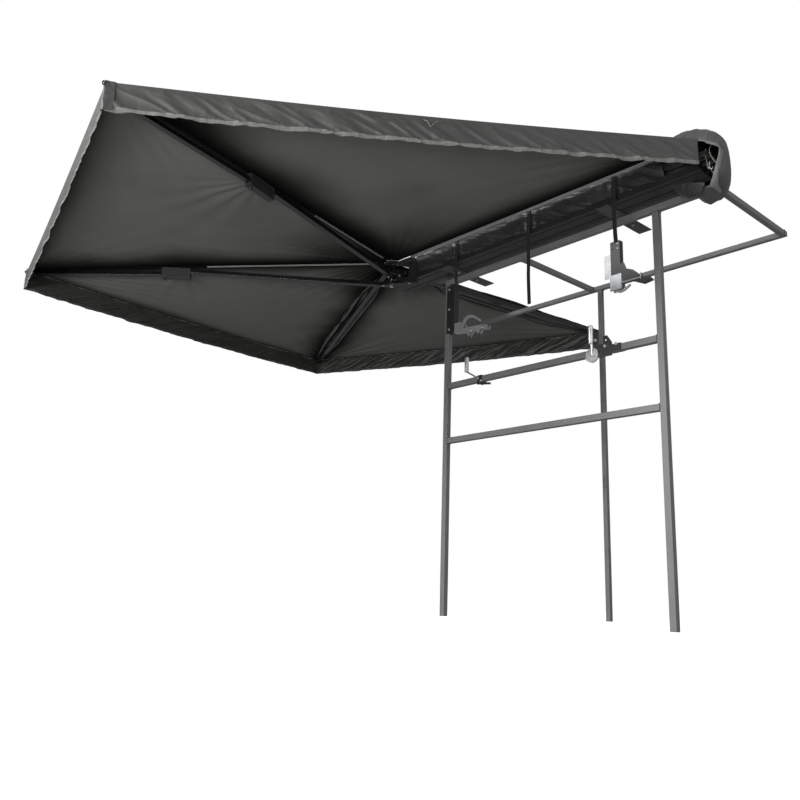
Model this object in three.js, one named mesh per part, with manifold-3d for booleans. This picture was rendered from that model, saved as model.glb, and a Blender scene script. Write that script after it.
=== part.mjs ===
// Side awning that fans out on four arms, shown open on its welded steel display stand.
// Millimetres, +Z up. Origin: centre of the front left leg's foot. +X runs along the backbone,
// +Y points away from the awning, to where the vehicle would be.
import * as THREE from 'three';
import { mergeVertices } from 'three/addons/utils/BufferGeometryUtils.js';
import Module from 'manifold-3d';

const wasm = await Module();
wasm.setup();

// Fits and cuts
const CLEAR = 0.3;
const CUT = 5;
const ROUND_STEPS = 3;
const BORE_SIDES = 16;
const DISC_SIDES = 28;

// Stand: square steel tube
const TUBE = 40;
const REAR_TUBE = 34;
const TUBE_WALL = 4;
const TUBE_CORNER = 3;
const LEG_HEIGHT = 2400;
const LEG_SPAN = 1726;
const RAIL_LENGTH = 2144;
const REAR_RAIL_OVERRUN = 430;
const STAND_DEPTH = 845;
const REAR_LEG_PLACE = 757;
const CROSS_MID_PLACE = 692;
const MIDDLE_RAIL_DROP = 783;
const LOWER_RAIL_DROP = 1186;

// Backbone: aluminium extrusion carried by two flat mounting plates on the front rail
const MOUNT_PLATE = 4.4;
const MOUNT_PLATE_WIDTH = 90;
const MOUNT_PLATE_BACK = 270;
const MOUNT_PLACES = [160, 1490];
const BACKBONE_SET_OFF = 32;
const BACKBONE_WIDTH = 155;
const BACKBONE_HEIGHT = 40;
const BACKBONE_LEFT = 400;
const BACKBONE_LENGTH = 2530;
const BACKBONE_WALL = 2.2;
const GROOVE_MOUTH = 8;
const GROOVE_LIP = 2.4;
const GROOVE_INSIDE = 15;
const GROOVE_DEPTH = 9;
const GROOVE_SET_IN = 37;

// Hub: lower and upper plate, post, end housing, pin and cap
const HUB_INSET = 100;
const HUB_REACH = 93;
const HUB_DROP = 45;
const HUB_PLATE = 6;
const HUB_PLATE_RADIUS = 42;
const HUB_TOP_LEVEL = 176;
const HUB_PIN_RADIUS = 8;
const HUB_NUT_RADIUS = 13;
const HUB_NUT_HEIGHT = 9;
const HUB_CAP_RADIUS = 60;
const HUB_CAP_HEIGHT = 9;
const HUB_CAP_LIP = 3;
const HUB_CAP_SHOULDER_SHARE = 0.8;
const HUB_SKIRT_EDGE = 12;
const HUB_SKIRT_BACK = 180;
const HUB_SKIRT_LEFT = 38;
const POST_THICKNESS = 8;
const HOUSING_INSET = 200;
const HOUSING_LENGTH = 90;
const HOUSING_HEIGHT = 160;
const HOUSING_RIB = 6;

// Arms
const KNUCKLE_RADIUS = 30;
const KNUCKLE_REACH = 92;
const NECK_SHARE = 0.9;
const PLUG_LENGTH = 55;
const ARM_WIDTH = 40;
const ARM_HEIGHT = 30;
const ARM_WALL = 2;
const ARM_CORNER = 2.5;
const OUTER_WIDTH = 34;
const OUTER_HEIGHT = 26;
const SLEEVE_LENGTH = 212;
const SLEEVE_WALL = 4.6;
const SLEEVE_SOCKET = 95;
const SLEEVE_DROP = 22;
const SLEEVE_TOP = 2;
const KNOB_RADIUS = 11;
const KNOB_HEIGHT = 16;
const KNOB_FACE_SHARE = 0.8;
const KNOB_BEVEL_SHARE = 0.75;
const KNOB_STEM_RADIUS = 4;
const KNOB_STEM_LENGTH = 9;
const KNOB_INSET = 20;
const TIP_LENGTH = 60;
const TIP_PLUG = 40;
const TIP_LUG = 14;
const TIP_SET_BACK = 36;

// For each arm: heading in degrees from +X, reach to its tip, level of its lower face over the hub's
// lower face, sideways offset, rise in degrees, and the height of the canopy's corner
const ARM_HEADINGS = [-71.14, -129.65, -204.34, -277.1];
const ARM_REACHES = [2718, 2742, 2716, 2325];
const ARM_LEVELS = [50, 8, 134, 97];
const ARM_SIDES = [16, -36, 16, -36];
const ARM_RISES = [0.4, 1.47, -1, -0.5];
const CORNER_LEVELS = [50, 12, 132, 122];

// Only the first two arms have an elbow: its place along the arm, its drop and the outer tube's fall
const ELBOW_PLACES = [1478, 1523];
const ELBOW_DROPS = [27, 31];
const ELBOW_FALLS = [2.7, 2.4];

// Canopy and valance
const CANOPY_THICKNESS = 1.5;
const CANOPY_RIDGE_LEVEL = 186;
const CANOPY_HEM_END = 2457;
const CANOPY_HEM_TURN = 1.3;
const CANOPY_HEM_LEVEL = 200;
const CANOPY_SAG = 34;
const CANOPY_EDGE_SAG = 20;
const CANOPY_CREASE = 3;
const CANOPY_CREASE_COUNT = 5;
const SEAM_GAP = 0.8;
const VALANCE_DROP = 150;
const VALANCE_THICKNESS = 2;
const VALANCE_FOLD = 9;
const VALANCE_FOLD_COUNT = 8;
const VALANCE_END = 6;

// Bag: front flap, cover and the loose hood over its open right end
const BAG_WALL = 3;
const BAG_FRONT = 22;
const BAG_DEPTH = 310;
const BAG_HEIGHT = 262;
const BAG_SHORT = 210;
const HOOD_LENGTH = 345;
const HOOD_SQUARENESS = 2.7;
const MOUTH_DEPTH = 160;

// Straps hanging from the bag's front
const STRAP_WIDTH = 28;
const STRAP_THICKNESS = 2.4;
const STRAP_GAP = 0.4;

// Clamps and brackets
const PLATE = 4;
const CHANNEL_1_WIDTH = 74;
const CHANNEL_1_HEIGHT = 372;
const CHANNEL_1_DEPTH = 46;
const CHANNEL_1_TOP_GAP = 14;
const CHANNEL_2_PLACE = 866;
const CHANNEL_2_WIDTH = 80;
const CHANNEL_2_HEIGHT = 265;
const CHANNEL_2_DEPTH = 45;
const CHANNEL_2_HOLE_SHARES = [0.78, 0.92];
const HOLE_RADIUS = 5.5;
const BLOCK_2_WIDTH = 97;
const BLOCK_2_HEIGHT = 120;
const BLOCK_2_WALL = 9;
const CLAMP_LENGTH = 325;
const CLAMP_HEIGHT = 130;
const CLAMP_WIDTH = 36;
const CLAMP_DROP = 63;
const CLAMP_FLOOR = 56;
const CLAMP_PIN_PLACE = 60;
const CLAMP_PIN_LEVEL = 99;
const CLAMP_PIN_RADIUS = 5;
const LEVER_LENGTH = 182;
const LEVER_BEND = 54;
const LEVER_2_LENGTH = 130;
const LEVER_2_BEND = 30;
const LEVER_2_GAP = 6;
const LEVER_THICKNESS = 16;
const LEVER_BOSS_RADIUS = 14;
const LEVER_ROOT = 11;
const LEVER_END = 6;
const SIDE_PLATE_REACH = 58;
const SIDE_PLATE_RISE = 180;
const ROD_REACH = 165;
const BRACKET_3_FROM_LEG = 380;
const BRACKET_3_WIDTH = 127;
const BRACKET_3_HEIGHT = 166;
const BRACKET_3_SLEEVE = 60;
const BRACKET_3_SLOT = 35;
const BRACKET_3_SLOT_PLACE = 32;
const CAM_RADIUS = 46;
const CAM_THICKNESS = 14;
const GRIP_RADIUS = 16;
const GRIP_LENGTH = 118;
const GRIP_NECK = 8;
const GRIP_START = 69;
const CRANK_PLACE = 334;
const CRANK_BLOCK = 44;
const CRANK_BAR_REACH = 83;
const CRANK_SADDLE_DROP = 56;
const CRANK_RADIUS = 104;
const CRANK_RISE = 64;
const CRANK_BOSS = 12;
const CRANK_ROD = 6;
const CRANK_GRIP_RADIUS = 15;
const CRANK_GRIP_LENGTH = 112;

// Places worked out from the sizes above
const railTop = LEG_HEIGHT + TUBE;
const middleRailLevel = LEG_HEIGHT - MIDDLE_RAIL_DROP;
const lowerRailLevel = LEG_HEIGHT - LOWER_RAIL_DROP;
const railLeft = -TUBE / 2;
const railRight = railLeft + RAIL_LENGTH;
const rearRailLevel = LEG_HEIGHT + REAR_TUBE / 2;
const backboneBase = railTop + 2 * CLEAR + MOUNT_PLATE;
const backboneBack = -TUBE / 2 - BACKBONE_SET_OFF;
const backboneFront = backboneBack - BACKBONE_WIDTH;
const backboneLeft = railLeft - BACKBONE_LEFT;
const backboneRight = backboneLeft + BACKBONE_LENGTH;
const hubX = backboneLeft + HUB_INSET;
const hubY = backboneFront - HUB_REACH;
const hubBase = backboneBase - HUB_DROP;
const canopyStart = HUB_CAP_RADIUS + 2 * CLEAR;
const housingLeft = backboneLeft + HOUSING_INSET;
const postLength = HOUSING_LENGTH + POST_THICKNESS;
const bagLeft = housingLeft + HOUSING_LENGTH + CLEAR;
const bagRight = backboneRight - BAG_SHORT;
const bagFrontFace = backboneFront - BAG_FRONT;
const bracket3Place = LEG_SPAN - BRACKET_3_FROM_LEG;

const arms = ARM_REACHES.map((length, i) => ({
  name: `arm_${i + 1}`,
  heading: ARM_HEADINGS[i],
  length,
  level: ARM_LEVELS[i],
  side: ARM_SIDES[i],
  rise: ARM_RISES[i],
  corner: CORNER_LEVELS[i],
  elbow: i < ELBOW_PLACES.length && { place: ELBOW_PLACES[i], drop: ELBOW_DROPS[i], fall: ELBOW_FALLS[i] },
}));

const finish = (color, roughness, metalness) =>
  new THREE.MeshStandardMaterial({ color, roughness, metalness });
const finishes = {
  steel: finish(0x3b3c3d, 0.55, 0.6),
  extrusion: finish(0x2c2d2f, 0.45, 0.7),
  blackMetal: finish(0x1d1e1f, 0.5, 0.6),
  zinc: finish(0xa9abaa, 0.35, 0.9),
  plastic: finish(0x18191a, 0.6, 0),
  canvas: finish(0x33342f, 0.9, 0),
  webbing: finish(0x1c1c1d, 0.95, 0),
};

const root = new THREE.Group();
const degrees = (angle) => THREE.MathUtils.degToRad(angle);

function add(parent, name, geometry, material) {
  const mesh = new THREE.Mesh(geometry, material);
  mesh.name = name;
  parent.add(mesh);
  return mesh;
}

// Closed mesh to manifold solid and back
function solid(geometry) {
  const bare = geometry.clone();
  bare.deleteAttribute('normal');
  bare.deleteAttribute('uv');
  const merged = mergeVertices(bare, 1e-4);
  const vertProperties = new Float32Array(merged.attributes.position.array);
  const triVerts = new Uint32Array(merged.index.array);
  return new wasm.Manifold(new wasm.Mesh({ numProp: 3, vertProperties, triVerts }));
}

function geometryOf(body) {
  const mesh = body.getMesh();
  const geometry = new THREE.BufferGeometry();
  geometry.setAttribute('position', new THREE.BufferAttribute(new Float32Array(mesh.vertProperties), 3));
  geometry.setIndex(new THREE.BufferAttribute(new Uint32Array(mesh.triVerts), 1));
  geometry.computeVertexNormals();
  return geometry;
}

function boxBetween(low, high) {
  const size = high.map((value, i) => value - low[i]);
  const geometry = new THREE.BoxGeometry(...size);
  geometry.translate(...size.map((value, i) => low[i] + value / 2));
  return geometry;
}

function cylinderAlong(axis, radius, length, sides = BORE_SIDES) {
  const geometry = new THREE.CylinderGeometry(radius, radius, length, sides);
  if (axis === 'x') geometry.rotateZ(Math.PI / 2);
  if (axis === 'z') geometry.rotateX(Math.PI / 2);
  return geometry;
}

// Rectangle with rounded corners, centred on the origin
function roundedRectangle(width, height, radius, target = new THREE.Shape()) {
  const w = width / 2;
  const h = height / 2;
  target.moveTo(w, radius - h);
  target.lineTo(w, h - radius);
  target.absarc(w - radius, h - radius, radius, 0, Math.PI / 2);
  target.lineTo(radius - w, h);
  target.absarc(radius - w, h - radius, radius, Math.PI / 2, Math.PI);
  target.lineTo(-w, radius - h);
  target.absarc(radius - w, radius - h, radius, Math.PI, 1.5 * Math.PI);
  target.lineTo(w - radius, -h);
  target.absarc(w - radius, radius - h, radius, 1.5 * Math.PI, 2 * Math.PI);
  return target;
}

const extrude = (shape, depth) =>
  new THREE.ExtrudeGeometry(shape, { depth, bevelEnabled: false, curveSegments: ROUND_STEPS });

// A shape drawn in (y, z) runs along +X from zero
function extrudeAlongX(shape, depth) {
  const geometry = extrude(shape, depth);
  const turn = new THREE.Matrix4().makeBasis(
    new THREE.Vector3(0, 1, 0), new THREE.Vector3(0, 0, 1), new THREE.Vector3(1, 0, 0));
  return geometry.applyMatrix4(turn);
}

// A shape drawn in (x, z) runs along +Y from zero
function extrudeAlongY(shape, depth) {
  const geometry = extrude(shape, depth);
  const turn = new THREE.Matrix4().makeBasis(
    new THREE.Vector3(1, 0, 0), new THREE.Vector3(0, 0, 1), new THREE.Vector3(0, -1, 0));
  geometry.applyMatrix4(turn);
  return geometry.translate(0, depth, 0);
}

// Rectangular tube along +X with its start at the origin, drawn width by height
function tubeGeometry(width, height, wall, corner, length) {
  const shape = roundedRectangle(width, height, corner);
  const inner = new THREE.Path();
  const innerWidth = width - 2 * wall;
  const innerHeight = height - 2 * wall;
  inner.moveTo(innerWidth / 2, innerHeight / 2);
  inner.lineTo(innerWidth / 2, -innerHeight / 2);
  inner.lineTo(-innerWidth / 2, -innerHeight / 2);
  inner.lineTo(-innerWidth / 2, innerHeight / 2);
  shape.holes.push(inner);
  return extrudeAlongX(shape, length);
}

// Square stand tube between two points on one axis; its far end is closed by a welded plate
function standTube(size, start, end, closedEnd) {
  const from = new THREE.Vector3(...start);
  const to = new THREE.Vector3(...end);
  const length = from.distanceTo(to);
  const outer = solid(extrudeAlongX(roundedRectangle(size, size, TUBE_CORNER), length));
  const hollow = size / 2 - TUBE_WALL;
  const far = closedEnd ? length - TUBE_WALL : length + CUT;
  const bore = solid(boxBetween([-CUT, -hollow, -hollow], [far, hollow, hollow]));
  const geometry = geometryOf(outer.subtract(bore));
  const turn = new THREE.Quaternion().setFromUnitVectors(
    new THREE.Vector3(1, 0, 0), to.clone().sub(from).normalize());
  geometry.applyQuaternion(turn);
  return geometry.translate(from.x, from.y, from.z);
}

function makeStand() {
  const stand = new THREE.Group();
  const rearY = STAND_DEPTH;
  const rearFace = rearY - REAR_TUBE / 2;
  const legTop = LEG_HEIGHT - CLEAR;
  const place = (name, size, start, end, closedEnd) =>
    add(stand, name, standTube(size, start, end, closedEnd), finishes.steel);
  place('leg_front_left', TUBE, [0, 0, legTop], [0, 0, 0], true);
  place('leg_front_right', TUBE, [LEG_SPAN, 0, legTop], [LEG_SPAN, 0, 0], true);
  place('leg_rear', REAR_TUBE, [REAR_LEG_PLACE, rearY, legTop], [REAR_LEG_PLACE, rearY, 0], true);
  const railLevel = LEG_HEIGHT + TUBE / 2;
  place('rail_front', TUBE, [railLeft, 0, railLevel], [railRight, 0, railLevel], true);
  const rearLeft = railLeft - REAR_RAIL_OVERRUN;
  place('rail_rear', REAR_TUBE, [rearLeft, rearY, rearRailLevel], [railRight, rearY, rearRailLevel], true);
  const crossRight = railRight - REAR_TUBE / 2;
  for (const [name, x] of [['cross_member_mid', CROSS_MID_PLACE], ['cross_member_right', crossRight]]) {
    const start = [x, TUBE / 2 + CLEAR, rearRailLevel];
    const end = [x, rearFace - CLEAR, rearRailLevel];
    place(name, REAR_TUBE, start, end, false);
  }
  const inLegs = [TUBE / 2 + CLEAR, LEG_SPAN - TUBE / 2 - CLEAR];
  for (const [name, z] of [['rail_middle', middleRailLevel], ['rail_lower', lowerRailLevel]]) {
    place(name, TUBE, [inLegs[0], 0, z], [inLegs[1], 0, z], false);
  }
  return stand;
}

// Flat plate that lies on the front rail and carries the backbone on its front half
function mountPlate(x) {
  const low = railTop + CLEAR;
  const half = MOUNT_PLATE_WIDTH / 2;
  return boxBetween([x - half, backboneFront, low], [x + half, MOUNT_PLATE_BACK, low + MOUNT_PLATE]);
}

// Cross-section in (y, z), y to the back: two T-grooves underneath and three chambers
function backboneShape() {
  const width = BACKBONE_WIDTH;
  const shape = new THREE.Shape();
  shape.moveTo(0, 0);
  for (const centre of [GROOVE_SET_IN, width - GROOVE_SET_IN]) {
    shape.lineTo(centre - GROOVE_MOUTH / 2, 0);
    shape.lineTo(centre - GROOVE_MOUTH / 2, GROOVE_LIP);
    shape.lineTo(centre - GROOVE_INSIDE / 2, GROOVE_LIP);
    shape.lineTo(centre - GROOVE_INSIDE / 2, GROOVE_DEPTH);
    shape.lineTo(centre + GROOVE_INSIDE / 2, GROOVE_DEPTH);
    shape.lineTo(centre + GROOVE_INSIDE / 2, GROOVE_LIP);
    shape.lineTo(centre + GROOVE_MOUTH / 2, GROOVE_LIP);
    shape.lineTo(centre + GROOVE_MOUTH / 2, 0);
  }
  shape.lineTo(width, 0);
  shape.lineTo(width, BACKBONE_HEIGHT);
  shape.lineTo(0, BACKBONE_HEIGHT);
  shape.closePath();
  const edges = [0, GROOVE_SET_IN, width - GROOVE_SET_IN, width];
  for (let i = 0; i < edges.length - 1; i += 1) {
    const left = edges[i] + (i === 0 ? BACKBONE_WALL : GROOVE_INSIDE / 2 + BACKBONE_WALL);
    const right = edges[i + 1] - (i === 2 ? BACKBONE_WALL : GROOVE_INSIDE / 2 + BACKBONE_WALL);
    const chamber = new THREE.Path();
    chamber.moveTo(left, BACKBONE_WALL);
    chamber.lineTo(left, BACKBONE_HEIGHT - BACKBONE_WALL);
    chamber.lineTo(right, BACKBONE_HEIGHT - BACKBONE_WALL);
    chamber.lineTo(right, BACKBONE_WALL);
    chamber.closePath();
    shape.holes.push(chamber);
  }
  return shape;
}

function makeBackbone() {
  const base = new THREE.Group();
  MOUNT_PLACES.forEach((x, i) => {
    add(base, ['mount_plate_left', 'mount_plate_right'][i], mountPlate(x), finishes.steel);
  });
  const backbone = add(base, 'backbone', extrudeAlongX(backboneShape(), BACKBONE_LENGTH), finishes.extrusion);
  backbone.position.set(backboneLeft, backboneFront, backboneBase);
  return base;
}

// Plan outline of a hub plate: a disc round the pin, drawn out to the post at the backbone
function hubPlateShape() {
  const postLeft = housingLeft - hubX - POST_THICKNESS;
  const postFront = HUB_REACH - CLEAR - POST_THICKNESS;
  const shape = new THREE.Shape();
  shape.absarc(0, 0, HUB_PLATE_RADIUS, Math.PI / 2, 1.75 * Math.PI, false);
  shape.lineTo(postLeft + postLength, postFront);
  shape.lineTo(postLeft + postLength, postFront + POST_THICKNESS);
  shape.lineTo(postLeft, postFront + POST_THICKNESS);
  shape.closePath();
  const bore = new THREE.Path();
  bore.absarc(0, 0, HUB_PIN_RADIUS + CLEAR, 0, 2 * Math.PI, true);
  shape.holes.push(bore);
  return shape;
}

function hubPlate(level) {
  const geometry = new THREE.ExtrudeGeometry(hubPlateShape(),
    { depth: HUB_PLATE, bevelEnabled: false, curveSegments: DISC_SIDES / 2 });
  return geometry.translate(hubX, hubY, level);
}

// Upright that ties both hub plates to the end housing
function hubPost() {
  const left = housingLeft - POST_THICKNESS;
  const back = backboneFront - CLEAR;
  const low = hubBase + HUB_PLATE + CLEAR;
  const high = hubBase + HUB_TOP_LEVEL - CLEAR;
  return boxBetween([left, back - POST_THICKNESS, low], [left + postLength, back, high]);
}

// Hollow cast block that closes the bag's left end, open to the right and ribbed on its front
function endHousing() {
  const low = backboneBase + BACKBONE_HEIGHT + CLEAR;
  const high = low + HOUSING_HEIGHT;
  const right = housingLeft + HOUSING_LENGTH;
  const rim = BACKBONE_WALL * 2;
  let block = solid(boxBetween([housingLeft, backboneFront, low], [right, backboneBack, high]));
  const hollow = boxBetween([housingLeft + rim, backboneFront + rim, low + rim],
    [right + CUT, backboneBack - rim, high - rim]);
  block = block.subtract(solid(hollow));
  const grooveCount = 4;
  const pitch = HOUSING_LENGTH / (grooveCount + 1);
  for (let i = 1; i <= grooveCount; i += 1) {
    const x = housingLeft + i * pitch;
    const cutter = boxBetween([x - HOUSING_RIB / 2, backboneFront - CUT, low + HOUSING_RIB],
      [x + HOUSING_RIB / 2, backboneFront + rim / 2, high - HOUSING_RIB]);
    block = block.subtract(solid(cutter));
  }
  return geometryOf(block);
}

function hubPin() {
  const low = -HUB_NUT_HEIGHT;
  const capSeat = HUB_TOP_LEVEL + HUB_PLATE;
  const profile = [
    [0, low - CLEAR], [HUB_NUT_RADIUS, low - CLEAR], [HUB_NUT_RADIUS, -CLEAR],
    [HUB_PIN_RADIUS, -CLEAR], [HUB_PIN_RADIUS, capSeat], [0, capSeat],
  ];
  const geometry = new THREE.LatheGeometry(profile.map((p) => new THREE.Vector2(...p)), BORE_SIDES);
  geometry.rotateX(Math.PI / 2);
  return geometry.translate(hubX, hubY, hubBase);
}

// Flat skirt beside the cap: it fills the corner between the hub and the end housing
function hubSkirt(level) {
  const right = housingLeft + HOUSING_LENGTH - hubX - CLEAR;
  const corner = housingLeft - hubX - 2 * CLEAR;
  const front = backboneFront - hubY - 2 * CLEAR;
  const outline = polygon([[0, 0], [right, HUB_SKIRT_EDGE], [right, front], [corner, front],
    [corner, HUB_SKIRT_BACK], [HUB_SKIRT_LEFT, HUB_SKIRT_BACK]]);
  return extrude(outline, HUB_CAP_LIP).translate(0, 0, level);
}

// Domed cap that holds the canopy's inner corners round the pin
function hubCap() {
  const low = HUB_TOP_LEVEL + HUB_PLATE + CLEAR;
  const shoulder = HUB_CAP_SHOULDER_SHARE;
  const profile = [
    [0, low], [HUB_CAP_RADIUS, low], [HUB_CAP_RADIUS, low + HUB_CAP_LIP],
    [HUB_CAP_RADIUS * shoulder, low + HUB_CAP_HEIGHT * shoulder],
    [HUB_PLATE_RADIUS / 2, low + HUB_CAP_HEIGHT], [0, low + HUB_CAP_HEIGHT],
  ];
  const dome = new THREE.LatheGeometry(profile.map((p) => new THREE.Vector2(...p)), DISC_SIDES);
  dome.rotateX(Math.PI / 2);
  return joined([dome, hubSkirt(low)]).translate(hubX, hubY, hubBase);
}

function makeHub() {
  const hub = new THREE.Group();
  add(hub, 'hub_plate_lower', hubPlate(hubBase), finishes.zinc);
  add(hub, 'hub_plate_upper', hubPlate(hubBase + HUB_TOP_LEVEL), finishes.blackMetal);
  add(hub, 'hub_post', hubPost(), finishes.blackMetal);
  add(hub, 'end_housing', endHousing(), finishes.plastic);
  add(hub, 'hub_pin', hubPin(), finishes.zinc);
  add(hub, 'hub_cap', hubCap(), finishes.plastic);
  return hub;
}

// The arm pieces below are drawn with the hub pin at the origin and the arm along +X.
// A tilted piece turns about the middle of the arm's root face.
function tilted(geometry, arm) {
  geometry.rotateY(-degrees(arm.rise));
  return geometry.translate(KNUCKLE_REACH, arm.side, arm.level + ARM_HEIGHT / 2);
}

// Cast knuckle: bored eye round the pin, cranked neck and a plug inside the arm's tube
function armKnuckle(arm) {
  const half = ARM_WIDTH / 2;
  const eye = cylinderAlong('z', KNUCKLE_RADIUS, ARM_HEIGHT, DISC_SIDES);
  eye.translate(0, 0, arm.level + ARM_HEIGHT / 2);
  const neck = new THREE.Shape();
  neck.moveTo(0, -KNUCKLE_RADIUS * NECK_SHARE);
  neck.lineTo(KNUCKLE_REACH, arm.side - half);
  neck.lineTo(KNUCKLE_REACH, arm.side + half);
  neck.lineTo(0, KNUCKLE_RADIUS * NECK_SHARE);
  neck.closePath();
  const neckBody = extrude(neck, ARM_HEIGHT).translate(0, 0, arm.level);
  const plugWidth = ARM_WIDTH - 2 * (ARM_WALL + CLEAR);
  const plugHeight = ARM_HEIGHT - 2 * (ARM_WALL + CLEAR);
  const plug = new THREE.BoxGeometry(PLUG_LENGTH * 2, plugWidth, plugHeight);
  const bore = cylinderAlong('z', HUB_PIN_RADIUS + CLEAR, ARM_HEIGHT + 2 * CUT);
  bore.translate(0, 0, arm.level + ARM_HEIGHT / 2);
  const body = solid(eye).add(solid(neckBody)).add(solid(tilted(plug, arm)));
  return geometryOf(body.subtract(solid(bore)));
}

// Where the inner tube ends: inside the elbow's socket, or at the tip of a straight arm
function armTubeLength(arm) {
  const end = arm.elbow ? arm.elbow.place + SLEEVE_SOCKET - CLEAR : arm.length - TIP_LENGTH - CLEAR;
  return end - KNUCKLE_REACH;
}

// The tube starts just past the neck, so that its tilt doesn't reach into it
function armTube(arm) {
  const start = CLEAR + Math.abs(Math.sin(degrees(arm.rise))) * ARM_HEIGHT;
  const length = armTubeLength(arm) - start;
  const geometry = tubeGeometry(ARM_WIDTH, ARM_HEIGHT, ARM_WALL, ARM_CORNER, length);
  return tilted(geometry.translate(start, 0, 0), arm);
}

// Height of the inner tube's lower face over the hub's lower face, at a distance from the pin
const innerLevel = (arm, distance) =>
  arm.level + (distance - KNUCKLE_REACH) * Math.tan(degrees(arm.rise));

// The outer section runs lower than the inner one and falls towards its tip
function placeOuter(geometry, arm) {
  const end = arm.elbow.place + SLEEVE_LENGTH;
  const level = innerLevel(arm, end) - arm.elbow.drop + OUTER_HEIGHT / 2;
  geometry.rotateY(degrees(arm.elbow.fall));
  return geometry.translate(end, arm.side, level);
}

const outerReach = (arm) =>
  (arm.length - TIP_LENGTH - CLEAR - arm.elbow.place - SLEEVE_LENGTH) / Math.cos(degrees(arm.elbow.fall));

function armOuter(arm) {
  const length = outerReach(arm) + SLEEVE_SOCKET - CLEAR;
  const geometry = tubeGeometry(OUTER_WIDTH, OUTER_HEIGHT, ARM_WALL, ARM_CORNER, length);
  return placeOuter(geometry.translate(CLEAR - SLEEVE_SOCKET, 0, 0), arm);
}

function sleeveTop(arm) {
  const end = arm.elbow.place + SLEEVE_SOCKET;
  const top = Math.max(innerLevel(arm, arm.elbow.place), innerLevel(arm, end));
  return top + ARM_HEIGHT + SLEEVE_TOP + CLEAR;
}

// Elbow sleeve: one block with a socket for the inner tube and a lower one for the outer tube
function armSleeve(arm) {
  const { place } = arm.elbow;
  const end = place + SLEEVE_LENGTH;
  const high = sleeveTop(arm);
  const low = innerLevel(arm, end) - arm.elbow.drop - SLEEVE_DROP;
  const half = ARM_WIDTH / 2 + SLEEVE_WALL;
  const outline = roundedRectangle(2 * half, high - low, ARM_CORNER);
  const block = extrudeAlongX(outline, SLEEVE_LENGTH).translate(place, arm.side, (low + high) / 2);
  const innerBore = new THREE.BoxGeometry(2 * SLEEVE_SOCKET, ARM_WIDTH + 2 * CLEAR, ARM_HEIGHT + 2 * CLEAR);
  innerBore.translate(place - KNUCKLE_REACH, 0, 0);
  const outerBore = new THREE.BoxGeometry(2 * SLEEVE_SOCKET, OUTER_WIDTH + 2 * CLEAR,
    OUTER_HEIGHT + 2 * CLEAR);
  let body = solid(block).subtract(solid(tilted(innerBore, arm)));
  body = body.subtract(solid(placeOuter(outerBore, arm)));
  const stem = cylinderAlong('z', KNOB_STEM_RADIUS + CLEAR, 2 * KNOB_STEM_LENGTH);
  stem.translate(end - KNOB_INSET, arm.side, low);
  return geometryOf(body.subtract(solid(stem)));
}

const sleeveBase = (arm) =>
  innerLevel(arm, arm.elbow.place + SLEEVE_LENGTH) - arm.elbow.drop - SLEEVE_DROP;

// Lock knob under the sleeve: a grooved head on a stem that turns in the sleeve
function lockKnob(arm) {
  const profile = [
    [0, -KNOB_HEIGHT], [KNOB_RADIUS * KNOB_FACE_SHARE, -KNOB_HEIGHT],
    [KNOB_RADIUS, -KNOB_HEIGHT * KNOB_BEVEL_SHARE],
    [KNOB_RADIUS, -CLEAR], [KNOB_STEM_RADIUS, -CLEAR], [KNOB_STEM_RADIUS, KNOB_STEM_LENGTH - CLEAR],
    [0, KNOB_STEM_LENGTH - CLEAR],
  ];
  const geometry = new THREE.LatheGeometry(profile.map((p) => new THREE.Vector2(...p)), BORE_SIDES);
  geometry.rotateX(Math.PI / 2);
  const x = arm.elbow.place + SLEEVE_LENGTH - KNOB_INSET;
  return geometry.translate(x, arm.side, sleeveBase(arm));
}

// Height of a ridge of the canopy at a distance from the pin. Over an elbow it rests on the sleeve.
function ridgeLevel(ridge, distance) {
  const { mapLinear } = THREE.MathUtils;
  if (!ridge.elbow) {
    return mapLinear(distance, canopyStart, ridge.length, CANOPY_RIDGE_LEVEL, ridge.corner);
  }
  const middle = ridge.elbow.place + SLEEVE_LENGTH;
  const rest = sleeveTop(ridge) + CANOPY_THICKNESS + CANOPY_CREASE;
  if (distance < middle) return mapLinear(distance, canopyStart, middle, CANOPY_RIDGE_LEVEL, rest);
  return mapLinear(distance, middle, ridge.length, rest, ridge.corner);
}

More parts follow.
